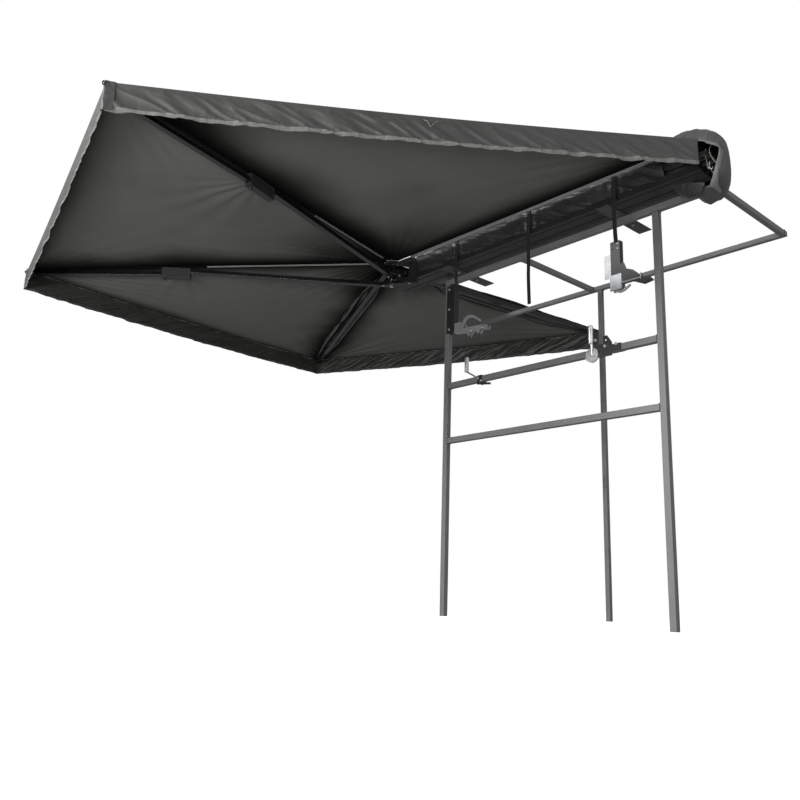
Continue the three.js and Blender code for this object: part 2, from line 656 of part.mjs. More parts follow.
// End cap with a plug in the tube and an upright lug that the canopy's corner is tied to
function armTip(arm) {
  const width = arm.elbow ? OUTER_WIDTH : ARM_WIDTH;
  const height = arm.elbow ? OUTER_HEIGHT : ARM_HEIGHT;
  const place = arm.elbow ? placeOuter : (geometry) => tilted(geometry, arm);
  const reach = arm.elbow ? outerReach(arm) : armTubeLength(arm);
  const inset = 2 * (ARM_WALL + CLEAR);
  const plug = boxBetween([reach - TIP_PLUG, inset / 2 - width / 2, inset / 2 - height / 2],
    [reach + TIP_LUG, width / 2 - inset / 2, height / 2 - inset / 2]);
  const cap = boxBetween([reach + CLEAR, -width / 2, -height / 2],
    [reach + TIP_LENGTH - TIP_SET_BACK, width / 2, height / 2]);
  const body = solid(place(plug, arm)).add(solid(place(cap, arm)));
  const centre = arm.length - TIP_LENGTH + CLEAR + (TIP_LENGTH - TIP_SET_BACK) / 2;
  const armLevel = arm.elbow
    ? innerLevel(arm, arm.elbow.place + SLEEVE_LENGTH) - arm.elbow.drop
      - Math.tan(degrees(arm.elbow.fall)) * outerReach(arm) + height / 2
    : innerLevel(arm, arm.length) + height / 2;
  const lugHalf = (TIP_LENGTH - TIP_SET_BACK) / 2 - 2 * CLEAR;
  const top = ridgeLevel(arm, centre) - CANOPY_THICKNESS - CANOPY_CREASE / 2;
  const lug = boxBetween([centre - lugHalf, arm.side - TIP_LUG, armLevel],
    [centre + lugHalf, arm.side + TIP_LUG, top]);
  return geometryOf(body.add(solid(lug)));
}

function makeArm(arm) {
  const group = new THREE.Group();
  group.position.set(hubX, hubY, hubBase);
  group.rotation.z = degrees(arm.heading);
  add(group, `${arm.name}_knuckle`, armKnuckle(arm), finishes.blackMetal);
  add(group, `${arm.name}_tube`, armTube(arm), finishes.blackMetal);
  add(group, `${arm.name}_tip`, armTip(arm), finishes.plastic);
  if (arm.elbow) {
    add(group, `${arm.name}_sleeve`, armSleeve(arm), finishes.plastic);
    add(group, `${arm.name}_outer`, armOuter(arm), finishes.blackMetal);
    add(group, `${arm.name}_lock_knob`, lockKnob(arm), finishes.plastic);
  }
  return group;
}

// Closed thin sheet over a grid: pointAt(u, v) is its middle, normalAt(u, v) the way it is thick
function sheetGeometry(pointAt, normalAt, columns, rows, thickness) {
  const positions = [];
  for (const side of [0.5, -0.5]) {
    for (let j = 0; j <= rows; j += 1) {
      for (let i = 0; i <= columns; i += 1) {
        const point = pointAt(i / columns, j / rows);
        point.addScaledVector(normalAt(i / columns, j / rows), side * thickness);
        positions.push(point.x, point.y, point.z);
      }
    }
  }
  const layer = (columns + 1) * (rows + 1);
  const at = (i, j, under) => under * layer + j * (columns + 1) + i;
  const index = [];
  const quad = (a, b, c, d) => index.push(a, b, c, a, c, d);
  for (let j = 0; j < rows; j += 1) {
    for (let i = 0; i < columns; i += 1) {
      quad(at(i, j, 0), at(i + 1, j, 0), at(i + 1, j + 1, 0), at(i, j + 1, 0));
      quad(at(i, j, 1), at(i, j + 1, 1), at(i + 1, j + 1, 1), at(i + 1, j, 1));
    }
  }
  for (let i = 0; i < columns; i += 1) {
    quad(at(i, 0, 1), at(i + 1, 0, 1), at(i + 1, 0, 0), at(i, 0, 0));
    quad(at(i, rows, 0), at(i + 1, rows, 0), at(i + 1, rows, 1), at(i, rows, 1));
  }
  for (let j = 0; j < rows; j += 1) {
    quad(at(0, j, 0), at(0, j + 1, 0), at(0, j + 1, 1), at(0, j, 1));
    quad(at(columns, j, 1), at(columns, j + 1, 1), at(columns, j + 1, 0), at(columns, j, 0));
  }
  const geometry = new THREE.BufferGeometry();
  geometry.setAttribute('position', new THREE.Float32BufferAttribute(positions, 3));
  geometry.setIndex(index);
  geometry.computeVertexNormals();
  return outward(geometry);
}

// Turns a closed mesh's triangles over if they face inwards
function outward(geometry) {
  const p = geometry.attributes.position;
  const index = geometry.index.array;
  const [a, b, c] = [new THREE.Vector3(), new THREE.Vector3(), new THREE.Vector3()];
  let volume = 0;
  for (let i = 0; i < index.length; i += 3) {
    a.fromBufferAttribute(p, index[i]);
    b.fromBufferAttribute(p, index[i + 1]);
    c.fromBufferAttribute(p, index[i + 2]);
    volume += a.dot(b.cross(c));
  }
  if (volume < 0) {
    for (let i = 0; i < index.length; i += 3) {
      [index[i + 1], index[i + 2]] = [index[i + 2], index[i + 1]];
    }
  }
  geometry.computeVertexNormals();
  return geometry;
}

// The canopy's ridges run from the hub to the arms' tips; the first is its hem at the backbone
const ridges = [
  { heading: CANOPY_HEM_TURN, length: CANOPY_HEM_END, corner: CANOPY_HEM_LEVEL },
  ...arms.map((arm) => ({
    ...arm,
    heading: arm.heading + THREE.MathUtils.radToDeg(Math.atan2(arm.side, arm.length)),
  })),
];

function ridgePoint(ridge, v) {
  const distance = canopyStart + v * (ridge.length - canopyStart);
  const angle = degrees(ridge.heading);
  const level = ridgeLevel(ridge, distance);
  return new THREE.Vector3(
    hubX + distance * Math.cos(angle), hubY + distance * Math.sin(angle), hubBase + level);
}

// Middle of the cloth between two ridges: it sags between them and creases from the outer corners
function canopyPoint(first, second, u, v) {
  const start = ridgePoint(first, v);
  const end = ridgePoint(second, v);
  const along = end.clone().sub(start);
  const inset = SEAM_GAP / along.length();
  const point = start.addScaledVector(along, inset + u * (1 - 2 * inset));
  const reach = Math.hypot(point.x - hubX, point.y - hubY);
  const push = Math.max(1, canopyStart / reach);
  point.x = hubX + (point.x - hubX) * push;
  point.y = hubY + (point.y - hubY) * push;
  const bow = Math.sin(Math.PI * u);
  const edge = v * v;
  point.z -= bow * (CANOPY_SAG * v * (1 - edge) + CANOPY_EDGE_SAG * edge);
  point.z += CANOPY_CREASE * bow * edge * (1 - edge) * Math.cos(2 * Math.PI * CANOPY_CREASE_COUNT * u);
  return point;
}

const upward = () => new THREE.Vector3(0, 0, 1);

function canopyPanel(first, second) {
  const columns = 15;
  const rows = 8;
  return sheetGeometry((u, v) => canopyPoint(first, second, u, v), upward, columns, rows,
    CANOPY_THICKNESS);
}

// The valance hangs from the canopy's outer edge in shallow folds that deepen towards its hem
function valance(first, second) {
  const columns = 54;
  const rows = 2;
  const chord = ridgePoint(second, 1).sub(ridgePoint(first, 1));
  const face = new THREE.Vector3(-chord.y, chord.x, 0).normalize();
  const end = VALANCE_END / chord.length();
  const pointAt = (u, v) => {
    const share = end + u * (1 - 2 * end);
    const point = canopyPoint(first, second, share, 1);
    point.z -= CANOPY_THICKNESS / 2 + CLEAR + v * VALANCE_DROP;
    const fold = Math.sin(Math.PI * share) ** 0.5 * Math.sin(2 * Math.PI * VALANCE_FOLD_COUNT * share);
    return point.addScaledVector(face, VALANCE_FOLD * v * fold);
  };
  return sheetGeometry(pointAt, () => face, columns, rows, VALANCE_THICKNESS);
}

function makeCanopy() {
  const canopy = new THREE.Group();
  for (let i = 1; i < ridges.length; i += 1) {
    add(canopy, `canopy_panel_${i}`, canopyPanel(ridges[i - 1], ridges[i]), finishes.canvas);
    add(canopy, `valance_${i}`, valance(ridges[i - 1], ridges[i]), finishes.canvas);
  }
  return canopy;
}

// A band of even thickness along a path in two dimensions, to the left of the way it runs
function bandShape(points, thickness) {
  const path = points.map((p) => new THREE.Vector2(...p));
  const inner = path.map((point, i) => {
    const before = path[Math.max(i - 1, 0)];
    const after = path[Math.min(i + 1, path.length - 1)];
    const back = point.clone().sub(before).normalize();
    const forth = after.clone().sub(point).normalize();
    const way = back.add(forth).normalize();
    return new THREE.Vector2(point.x - way.y * thickness, point.y + way.x * thickness);
  });
  return new THREE.Shape([...path, ...inner.reverse()]);
}

// The bag's cross-section as shares of its depth, from the front, and of its height, from the backbone
const flapShares = [[0.125, 0.02], [0.06, 0.12], [0.015, 0.3], [0, 0.5], [0.005, 0.585]];
const coverShares = [
  [0.012, 0.6], [0.05, 0.74], [0.14, 0.87], [0.28, 0.965], [0.46, 1], [0.66, 0.98], [0.84, 0.88],
  [0.95, 0.7], [1, 0.48], [0.985, 0.25], [0.93, 0.1], [0.84, 0.035], [0.6, 0.03],
];
const bagPoint = ([y, z]) => [
  bagFrontFace + y * BAG_DEPTH,
  backboneBase + z * BAG_HEIGHT,
];

// The flap and cover end just clear of the backbone's front and back faces
function bagBand(points) {
  const shape = bandShape(points, -BAG_WALL);
  return extrudeAlongX(shape, bagRight - bagLeft).translate(bagLeft, 0, 0);
}

function bagFlap() {
  const points = flapShares.map(bagPoint);
  points[0] = [backboneFront - BAG_WALL, backboneBase + CLEAR];
  return bagBand(points);
}

function bagCover() {
  const points = coverShares.map(bagPoint);
  const floor = railTop + MOUNT_PLATE + 2 * CLEAR + BAG_WALL;
  const last = points.length - 1;
  points[last] = [backboneBack + CLEAR, floor];
  points[last - 1][1] = Math.max(points[last - 1][1], floor);
  return bagBand(points);
}

// Sections of the hood: share of its length, then the places of its front, back, lower and upper
// edge as shares of the bag's depth, from the front, and of its height, from the backbone
const hoodSections = [
  [0, -0.01, 1.01, 0.08, 1.02], [0.17, -0.02, 1.02, 0.08, 1.13], [0.3, -0.03, 1.03, 0.06, 1.18],
  [0.36, -0.03, 1.03, -0.1, 1.185], [0.42, -0.03, 1.03, -0.5, 1.18], [0.53, -0.03, 1.02, -0.58, 1.15],
  [0.66, -0.03, 0.98, -0.54, 1.075], [0.77, -0.03, 0.86, -0.48, 0.965], [0.87, -0.02, 0.68, -0.42, 0.8],
  [0.94, 0, 0.52, -0.36, 0.62], [0.98, 0.05, 0.42, -0.26, 0.46], [1, 0.12, 0.34, -0.12, 0.3],
];

// Lofts the hood's sections into a closed body, drawn in by an inset on all sides
function hoodBody(inset) {
  const around = 28;
  const left = bagRight + CLEAR - (inset > 0 ? CUT : 0);
  const rings = hoodSections.map(([share, front, back, low, high]) => {
    const [y0, z0] = bagPoint([front, low]);
    const [y1, z1] = bagPoint([back, high]);
    const x = share === 0 ? left : bagRight + CLEAR + share * (HOOD_LENGTH - inset);
    const halfY = (y1 - y0) / 2 - inset;
    const halfZ = (z1 - z0) / 2 - inset;
    const ring = [];
    for (let i = 0; i < around; i += 1) {
      const angle = 2 * Math.PI * i / around;
      const [c, n] = [Math.cos(angle), Math.sin(angle)];
      const power = HOOD_SQUARENESS;
      const size = (Math.abs(c) ** power + Math.abs(n) ** power) ** (-1 / power);
      ring.push([x, (y0 + y1) / 2 + halfY * c * size, (z0 + z1) / 2 + halfZ * n * size]);
    }
    return ring;
  });
  const middle = (ring) => [0, 1, 2].map((k) => ring.reduce((sum, p) => sum + p[k], 0) / ring.length);
  const points = [...rings.flat(), middle(rings[0]), middle(rings[rings.length - 1])];
  const index = [];
  const last = rings.length - 1;
  for (let i = 0; i < around; i += 1) {
    const k = (i + 1) % around;
    for (let j = 0; j < last; j += 1) {
      const [a, b] = [j * around + i, j * around + k];
      const [c, d] = [b + around, a + around];
      index.push(a, b, c, a, c, d);
    }
    index.push(last * around + around, k, i);
    index.push(last * around + around + 1, last * around + i, last * around + k);
  }
  const geometry = new THREE.BufferGeometry();
  geometry.setAttribute('position', new THREE.Float32BufferAttribute(points.flat(), 3));
  geometry.setIndex(index);
  return outward(geometry);
}

// Outline of the hood's mouth seen from the front, in shares of its length and of the bag's height
const mouthShares = [
  [-0.05, 0.99], [0.17, 0.955], [0.27, 0.9], [0.62, 0.64], [0.745, 0.55], [0.92, 0.4], [0.965, 0.32],
  [0.955, 0.12], [0.92, -0.06], [0.84, -0.26], [0.74, -0.4], [0.68, -0.4], [0.54, -0.36],
  [0.4, -0.45], [0.3, -0.9], [-0.05, -0.9],
];

// Hood over the open end: hollow, cut open by its mouth in front and cleared round the backbone,
// the rail and the cross member, which it hangs past
function bagEnd() {
  const left = bagRight - CUT;
  const railEnd = railRight + BAG_WALL;
  const mouth = extrudeAlongY(polygon(mouthShares.map(([x, z]) => [
    bagRight + x * HOOD_LENGTH, backboneBase + z * BAG_HEIGHT])), MOUTH_DEPTH);
  mouth.translate(0, bagFrontFace - 5 * CUT, 0);
  const overBackbone = boxBetween([left, backboneFront - BAG_WALL, backboneBase - BAG_WALL],
    [backboneRight + BAG_WALL, backboneBack + BAG_WALL, backboneBase + BAG_WALL + BACKBONE_HEIGHT]);
  const overRail = boxBetween([left, -TUBE, lowerRailLevel],
    [railEnd, STAND_DEPTH, railTop + MOUNT_PLATE]);
  let body = solid(hoodBody(0)).subtract(solid(hoodBody(BAG_WALL)));
  for (const cutter of [mouth, overBackbone, overRail]) body = body.subtract(solid(cutter));
  return geometryOf(largest(body));
}

// The largest of a body's separate parts
function largest(body) {
  return body.decompose().sort((a, b) => b.volume() - a.volume())[0];
}

function makeBag() {
  const bag = new THREE.Group();
  add(bag, 'bag_flap', bagFlap(), finishes.canvas);
  add(bag, 'bag_cover', bagCover(), finishes.canvas);
  add(bag, 'bag_end', bagEnd(), finishes.canvas);
  return bag;
}

// Strap routes in (y, z) from the seam of flap and cover: y from the bag's front face, z from the
// backbone's lower face. The first hooks up at its end.
const strapRoutes = {
  strap_left: { x: 295, points: [[0, 150], [0, 118], [-3, 60], [-4, 10], [-3, -60], [0, -130], [6, -176],
    [18, -198], [32, -196], [38, -180], [34, -166]] },
  strap_middle: { x: 948, points: [[0, 150], [0, 118], [-4, 60], [-3, 0], [-5, -90], [-3, -190], [-5, -300],
    [-2, -400], [2, -488]] },
  strap_right: { x: 1590, points: [[0, 150], [0, 118], [-3, 50], [-5, -40], [-3, -140], [0, -216],
    [5, -268]] },
};

function strap(route) {
  const curve = new THREE.SplineCurve(route.points.map(([y, z]) => new THREE.Vector2(
    bagFrontFace - STRAP_GAP - STRAP_THICKNESS + y, backboneBase + z)));
  const steps = route.points.length * 2;
  const shape = bandShape(curve.getPoints(steps).map((p) => [p.x, p.y]), STRAP_THICKNESS);
  return extrudeAlongX(shape, STRAP_WIDTH).translate(route.x - STRAP_WIDTH / 2, 0, 0);
}

function makeStraps() {
  const straps = new THREE.Group();
  for (const [name, route] of Object.entries(strapRoutes)) {
    add(straps, name, geometryOf(solid(strap(route))), finishes.webbing);
  }
  return straps;
}

// Joins closed geometries into one body and drills it
function joined(pieces, cutters = []) {
  let body = solid(pieces[0]);
  for (const piece of pieces.slice(1)) body = body.add(solid(piece));
  for (const cutter of cutters) body = body.subtract(solid(cutter));
  return geometryOf(body);
}

function polygon(points) {
  return new THREE.Shape(points.map((p) => new THREE.Vector2(...p)));
}

// Open channel hung on the front left leg: its front web laps the leg, one flange lies on the leg's
// side and the other carries the clamp
const channel1Right = CLEAR + CHANNEL_1_WIDTH;
const channel1Top = LEG_HEIGHT - CHANNEL_1_TOP_GAP;
const channel1Base = channel1Top - CHANNEL_1_HEIGHT;

function channel1() {
  const front = -TUBE / 2 - CLEAR;
  const legSide = TUBE / 2 + CLEAR;
  const back = front + CHANNEL_1_DEPTH;
  const web = boxBetween([0, front - PLATE, channel1Base], [channel1Right, front, channel1Top]);
  const inner = boxBetween([legSide, front - PLATE, channel1Base], [legSide + PLATE, back, channel1Top]);
  const outer = boxBetween([channel1Right - PLATE, front - PLATE, channel1Base],
    [channel1Right, back, channel1Top]);
  const holes = [];
  const holeCount = 4;
  const pitch = CHANNEL_1_HEIGHT / (holeCount + 1);
  const x = (legSide + channel1Right) / 2;
  for (let i = 1; i <= holeCount; i += 1) {
    const cutter = cylinderAlong('y', HOLE_RADIUS, 2 * (PLATE + CUT));
    holes.push(cutter.translate(x, front, channel1Base + i * pitch));
  }
  return joined([web, inner, outer], holes);
}

// Outline of the front clamp's cheeks as shares of its length and height: an upright root, a long
// jaw to the right and two feet
const cheekShares = [
  [0, 0.42], [0.12, 0.38], [0.38, 0.28], [0.44, 0], [0.5, 0.26], [0.67, 0.21], [0.725, 0], [0.8, 0.24],
  [0.99, 0.15], [1, 0.37], [0.77, 0.48], [0.29, 0.58], [0.27, 0.86], [0.18, 1], [0, 1],
];

// Clamp body: two cheeks on a base plate with a floor between them; the lever's pin runs through both
function clampBody() {
  const cheek = polygon(cheekShares.map(([x, z]) => [x * CLAMP_LENGTH, z * CLAMP_HEIGHT]));
  const half = CLAMP_WIDTH / 2;
  const cheeks = [-half, half - PLATE].map((y) => extrudeAlongY(cheek, PLATE).translate(0, y, 0));
  const base = boxBetween([0, -half, CLAMP_FLOOR], [PLATE, half, CLAMP_HEIGHT]);
  const floor = boxBetween([0, -half, CLAMP_FLOOR], [CLAMP_LENGTH / 2, half, CLAMP_FLOOR + PLATE]);
  const bore = cylinderAlong('y', CLAMP_PIN_RADIUS + CLEAR, CLAMP_WIDTH + 2 * CUT);
  bore.translate(CLAMP_PIN_PLACE, 0, CLAMP_PIN_LEVEL);
  return joined([base, floor, ...cheeks], [bore]);
}

// Course of a clamp's lever: shares of its length and of its bend
const leverShares = [[0, 0], [0.25, 1], [0.6, 0.95], [1, 0.05]];

// Lever with a boss and pin at the origin; it arches and tapers towards its end
function clampLever(length, bend, pinLength) {
  const boss = cylinderAlong('y', LEVER_BOSS_RADIUS, LEVER_THICKNESS);
  const pin = cylinderAlong('y', CLAMP_PIN_RADIUS, pinLength);
  const curve = new THREE.SplineCurve(
    leverShares.map(([x, z]) => new THREE.Vector2(x * length, z * bend)));
  const steps = 12;
  const lower = [];
  const upper = [];
  for (let i = 0; i <= steps; i += 1) {
    const share = i / steps;
    const half = THREE.MathUtils.lerp(LEVER_ROOT, LEVER_END, share);
    const point = curve.getPoint(share);
    const way = curve.getTangent(share);
    lower.push([point.x + way.y * half, point.y - way.x * half]);
    upper.unshift([point.x - way.y * half, point.y + way.x * half]);
  }
  const bar = extrudeAlongY(polygon([...lower, ...upper]), LEVER_THICKNESS);
  bar.translate(0, -LEVER_THICKNESS / 2, 0);
  return joined([boss, pin, bar]);
}

function makeFirstClamp() {
  const group = new THREE.Group();
  add(group, 'channel_front', channel1(), finishes.blackMetal);
  const base = [channel1Right + CLEAR, 0, channel1Base - CLAMP_DROP];
  add(group, 'clamp_front_body', clampBody(), finishes.zinc).position.set(...base);
  const lever = clampLever(LEVER_LENGTH, LEVER_BEND, CLAMP_WIDTH);
  add(group, 'clamp_front_lever', lever, finishes.zinc)
    .position.set(base[0] + CLAMP_PIN_PLACE, base[1], base[2] + CLAMP_PIN_LEVEL);
  return group;
}

// Saddle over the rear rail: a block with a slot that opens downwards, its cheeks carrying the lever
const block2Left = CHANNEL_2_PLACE + CHANNEL_2_WIDTH / 2 - BLOCK_2_WIDTH / 2;
const block2Half = REAR_TUBE / 2 + CLEAR + BLOCK_2_WALL;
const block2Top = rearRailLevel + BLOCK_2_HEIGHT / 2;
const block2PinX = block2Left + BLOCK_2_WIDTH / 4;
const block2PinZ = rearRailLevel - REAR_TUBE / 2 - LEVER_BOSS_RADIUS - LEVER_2_GAP;
const channel2Front = STAND_DEPTH - CHANNEL_2_DEPTH / 2;

function clampBlock() {
  const low = block2Top - BLOCK_2_HEIGHT;
  const right = block2Left + BLOCK_2_WIDTH;
  const slotHalf = REAR_TUBE / 2 + CLEAR;
  const block = boxBetween([block2Left, STAND_DEPTH - block2Half, low],
    [right, STAND_DEPTH + block2Half, block2Top]);
  const rodY = channel2Front - 2 * CLEAR - CRANK_ROD;
  const rod = cylinderAlong('x', CRANK_ROD, ROD_REACH + CUT, 12);
  rod.translate(right + (ROD_REACH - CUT) / 2, rodY, rearRailLevel - REAR_TUBE / 2);
  const endPlate = boxBetween(
    [right + ROD_REACH - PLATE, rodY - 2 * PLATE, rearRailLevel - REAR_TUBE],
    [right + ROD_REACH, rodY + CRANK_ROD, rearRailLevel + REAR_TUBE / 2]);
  const sideLeft = block2Left - SIDE_PLATE_REACH;
  const sidePlate = boxBetween([sideLeft, STAND_DEPTH - PLATE, block2Top - 2 * PLATE],
    [block2Left + PLATE, STAND_DEPTH, block2Top + SIDE_PLATE_RISE]);
  const holes = [];
  for (const column of [1, 2]) {
    for (const row of [1, 2, 3]) {
      const cutter = cylinderAlong('y', HOLE_RADIUS, 2 * (PLATE + CUT));
      holes.push(cutter.translate(sideLeft + column * SIDE_PLATE_REACH / 3, STAND_DEPTH,
        block2Top + row * SIDE_PLATE_RISE / 4));
    }
  }
  const slot = boxBetween([block2Left - CUT, STAND_DEPTH - slotHalf, low - CUT],
    [right + CUT, STAND_DEPTH + slotHalf, rearRailLevel + slotHalf]);
  const bore = cylinderAlong('y', CLAMP_PIN_RADIUS + CLEAR, 2 * (block2Half + CUT));
  bore.translate(block2PinX, STAND_DEPTH, block2PinZ);
  return joined([block, rod, endPlate, sidePlate], [slot, bore, ...holes]);
}

// Outline of the jaw beside the rear channel: steps right from its edge and down from its lower end
const jawSteps = [
  [-PLATE, 77], [31, 77], [51, 24], [104, 1], [147, -40], [190, -76], [242, -92], [273, -127],
  [196, -137], [113, -95], [27, -71], [10, -36], [10, 0], [-PLATE, 0],
];

// Upright channel on the saddle; its web runs on to the right as a jaw in front of the rail
function channel2() {
  const low = block2Top + CLEAR;
  const high = low + CHANNEL_2_HEIGHT;
  const right = CHANNEL_2_PLACE + CHANNEL_2_WIDTH;
  const web = boxBetween([CHANNEL_2_PLACE, channel2Front, low], [right, channel2Front + PLATE, high]);
  const flanges = [CHANNEL_2_PLACE, right - PLATE].map((x) =>
    boxBetween([x, channel2Front, low], [x + PLATE, channel2Front + CHANNEL_2_DEPTH, high]));
  const jaw = extrudeAlongY(polygon(jawSteps.map(([x, z]) => [right + x, low + z])), PLATE);
  jaw.translate(0, channel2Front, 0);
  const holes = [];
  for (const x of [CHANNEL_2_PLACE + CHANNEL_2_WIDTH / 4, right - CHANNEL_2_WIDTH / 4]) {
    for (const share of CHANNEL_2_HOLE_SHARES) {
      const cutter = cylinderAlong('y', HOLE_RADIUS, 2 * (PLATE + CUT));
      holes.push(cutter.translate(x, channel2Front, low + share * CHANNEL_2_HEIGHT));
    }
  }
  return joined([web, ...flanges, jaw], holes);
}

function makeSecondClamp() {
  const group = new THREE.Group();
  add(group, 'channel_rear', channel2(), finishes.blackMetal);
  add(group, 'clamp_rear_body', clampBlock(), finishes.zinc);
  const shape = clampLever(LEVER_2_LENGTH, LEVER_2_BEND, 2 * block2Half);
  const lever = add(group, 'clamp_rear_lever', shape, finishes.zinc);
  lever.rotation.x = Math.PI;
  lever.position.set(block2PinX, STAND_DEPTH, block2PinZ);
  return group;
}

// Saddle of bent plate over the middle rail, open underneath
function railSaddle(left, right, drop) {
  const half = TUBE / 2 + CLEAR;
  const top = middleRailLevel + half;
  const low = middleRailLevel + half - drop;
  return [
    boxBetween([left, -half - PLATE, top], [right, half + PLATE, top + PLATE]),
    boxBetween([left, -half - PLATE, low], [right, -half, top + PLATE]),
    boxBetween([left, half, low], [right, half + PLATE, top + PLATE]),
  ];
}

const cam = {
  x: bracket3Place - BRACKET_3_WIDTH / 2 - 2 * PLATE,
  z: middleRailLevel - TUBE / 2,
  front: -TUBE / 2 - CLEAR - PLATE,
};

// Holes of the middle bracket: steps right from its left edge and shares of its height
const bracket3Holes = [[16, 0.86], [16, 0.62], [85, 0.62]];

// Plate on the rail's front: a tall left arm, a slot and a lower, slanted right arm with a saddle
function bracket3() {
  const back = -TUBE / 2 - CLEAR;
  const left = bracket3Place - BRACKET_3_WIDTH / 2;
  const right = left + BRACKET_3_WIDTH;
  const slotLeft = left + BRACKET_3_SLOT_PLACE;
  const slotRight = slotLeft + BRACKET_3_SLOT;
  const low = cam.z - CAM_RADIUS / 2;
  const high = low + BRACKET_3_HEIGHT;
  const slotBase = railTop - MIDDLE_RAIL_DROP;
  const outline = polygon([[cam.x - CAM_RADIUS / 2, low], [right, low], [right, slotBase],
    [right - BRACKET_3_SLOT_PLACE, high - BRACKET_3_SLOT], [slotRight, high - BRACKET_3_SLOT],
    [slotRight, slotBase], [slotLeft, slotBase], [slotLeft, high], [left, high], [left, slotBase],
    [cam.x - CAM_RADIUS / 2, cam.z + CAM_RADIUS / 2]]);
  const plate = extrudeAlongY(outline, PLATE).translate(0, back - PLATE, 0);
  const saddle = railSaddle(right - TUBE / 2, right + BRACKET_3_SLEEVE, TUBE + CLEAR);
  const holes = bracket3Holes.map(([x, share]) => cylinderAlong('y', HOLE_RADIUS, 2 * CUT + 2 * PLATE)
    .translate(left + x, back, low + share * BRACKET_3_HEIGHT));
  const bore = cylinderAlong('y', CLAMP_PIN_RADIUS + CLEAR, 2 * CUT + 2 * PLATE);
  return joined([plate, ...saddle], [...holes, bore.translate(cam.x, back, cam.z)]);
}

// Round bar with bevelled ends, standing on the origin
function gripGeometry(radius, length) {
  const bevel = radius / 3;
  const profile = [[0, 0], [radius - bevel, 0], [radius, bevel], [radius, length - bevel],
    [radius - bevel, length], [0, length]];
  const geometry = new THREE.LatheGeometry(profile.map((p) => new THREE.Vector2(...p)), BORE_SIDES);
  return geometry.rotateX(Math.PI / 2);
}

// Handle on a round cam: neck and straight grip stand off in front of the plate
function bracket3Handle() {
  const disc = cylinderAlong('y', CAM_RADIUS, CAM_THICKNESS, DISC_SIDES);
  disc.translate(0, -CLEAR - CAM_THICKNESS / 2, 0);
  const pin = cylinderAlong('y', CLAMP_PIN_RADIUS, PLATE + CAM_THICKNESS);
  pin.translate(0, (PLATE - CAM_THICKNESS) / 2 - CLEAR, 0);
  const neck = cylinderAlong('z', GRIP_NECK, GRIP_START + GRIP_NECK, 12);
  neck.translate(0, -CLEAR - CAM_THICKNESS / 2 - GRIP_NECK / 4, GRIP_START / 2 + GRIP_NECK);
  const grip = gripGeometry(GRIP_RADIUS, GRIP_LENGTH).translate(0, -GRIP_RADIUS - PLATE, GRIP_START);
  return joined([disc, pin, neck, grip]);
}

function makeThirdClamp() {
  const group = new THREE.Group();
  add(group, 'bracket_mid_plate', bracket3(), finishes.blackMetal);
  const handle = add(group, 'bracket_mid_handle', bracket3Handle(), finishes.zinc);
  handle.position.set(cam.x, cam.front, cam.z);
  return group;
}

// Small saddle clamp with a boss in front for the crank's screw and a jaw bar below
const crankFront = -TUBE / 2 - CLEAR - PLATE - CRANK_BOSS;

function crankBody() {
  const left = CRANK_PLACE - CRANK_BLOCK / 2;
  const right = CRANK_PLACE + CRANK_BLOCK / 2;
  const back = -TUBE / 2 - CLEAR;
  const low = middleRailLevel - TUBE;
  const saddle = railSaddle(left, right, CRANK_SADDLE_DROP);
  const far = right + CRANK_BAR_REACH;
  const bar = extrudeAlongY(polygon([[left, low], [far, low - TUBE / 2], [far, low - TUBE / 8],
    [right, low + TUBE / 4], [right, middleRailLevel], [left, middleRailLevel]]), PLATE);
  bar.translate(0, back - PLATE, 0);
  const boss = cylinderAlong('y', 2 * CRANK_ROD, CRANK_BOSS + PLATE);
  boss.translate(CRANK_PLACE, back - (CRANK_BOSS + PLATE) / 2, middleRailLevel);
  const bore = cylinderAlong('y', CLAMP_PIN_RADIUS + CLEAR, 2 * CRANK_BOSS);
  bore.translate(CRANK_PLACE, crankFront, middleRailLevel);
  return joined([bar, boss, ...saddle], [bore]);
}

// Crank: disc and screw end at the origin, a rod out to the left and an upright round grip
function crankHandle() {
  const disc = cylinderAlong('y', 2 * CRANK_ROD, 2 * CRANK_ROD);
  disc.translate(0, -CLEAR - CRANK_ROD, 0);
  const screw = cylinderAlong('y', CLAMP_PIN_RADIUS, CRANK_BOSS);
  const rod = cylinderAlong('x', CRANK_ROD, Math.hypot(CRANK_RADIUS, CRANK_RISE), 12);
  rod.rotateY(Math.atan2(CRANK_RISE, CRANK_RADIUS));
  rod.translate(-CRANK_RADIUS / 2, -CLEAR - CRANK_ROD, CRANK_RISE / 2);
  const grip = gripGeometry(CRANK_GRIP_RADIUS, CRANK_GRIP_LENGTH);
  grip.translate(-CRANK_RADIUS, -CLEAR - CRANK_ROD, CRANK_RISE - CRANK_ROD);
  return joined([disc, screw, rod, grip]);
}

function makeCrankClamp() {
  const group = new THREE.Group();
  add(group, 'crank_clamp_body', crankBody(), finishes.blackMetal);
  const handle = add(group, 'crank_handle', crankHandle(), finishes.zinc);
  handle.position.set(CRANK_PLACE, crankFront, middleRailLevel);
  return group;
}

root.add(makeStand(), makeBackbone(), makeHub(), makeCanopy(), makeBag(), makeStraps());
root.add(makeFirstClamp(), makeSecondClamp(), makeThirdClamp(), makeCrankClamp());
for (const arm of arms) root.add(makeArm(arm));

export default root;
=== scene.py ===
"""Looks of the fan-shaped vehicle side awning on its display stand: camera, studio, cloth and finishes.

Metres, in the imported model's frame: origin under the front left leg, +X along the backbone, +Z up.
"""

import math

import bpy
import numpy as np
from mathutils import Matrix, Vector, noise


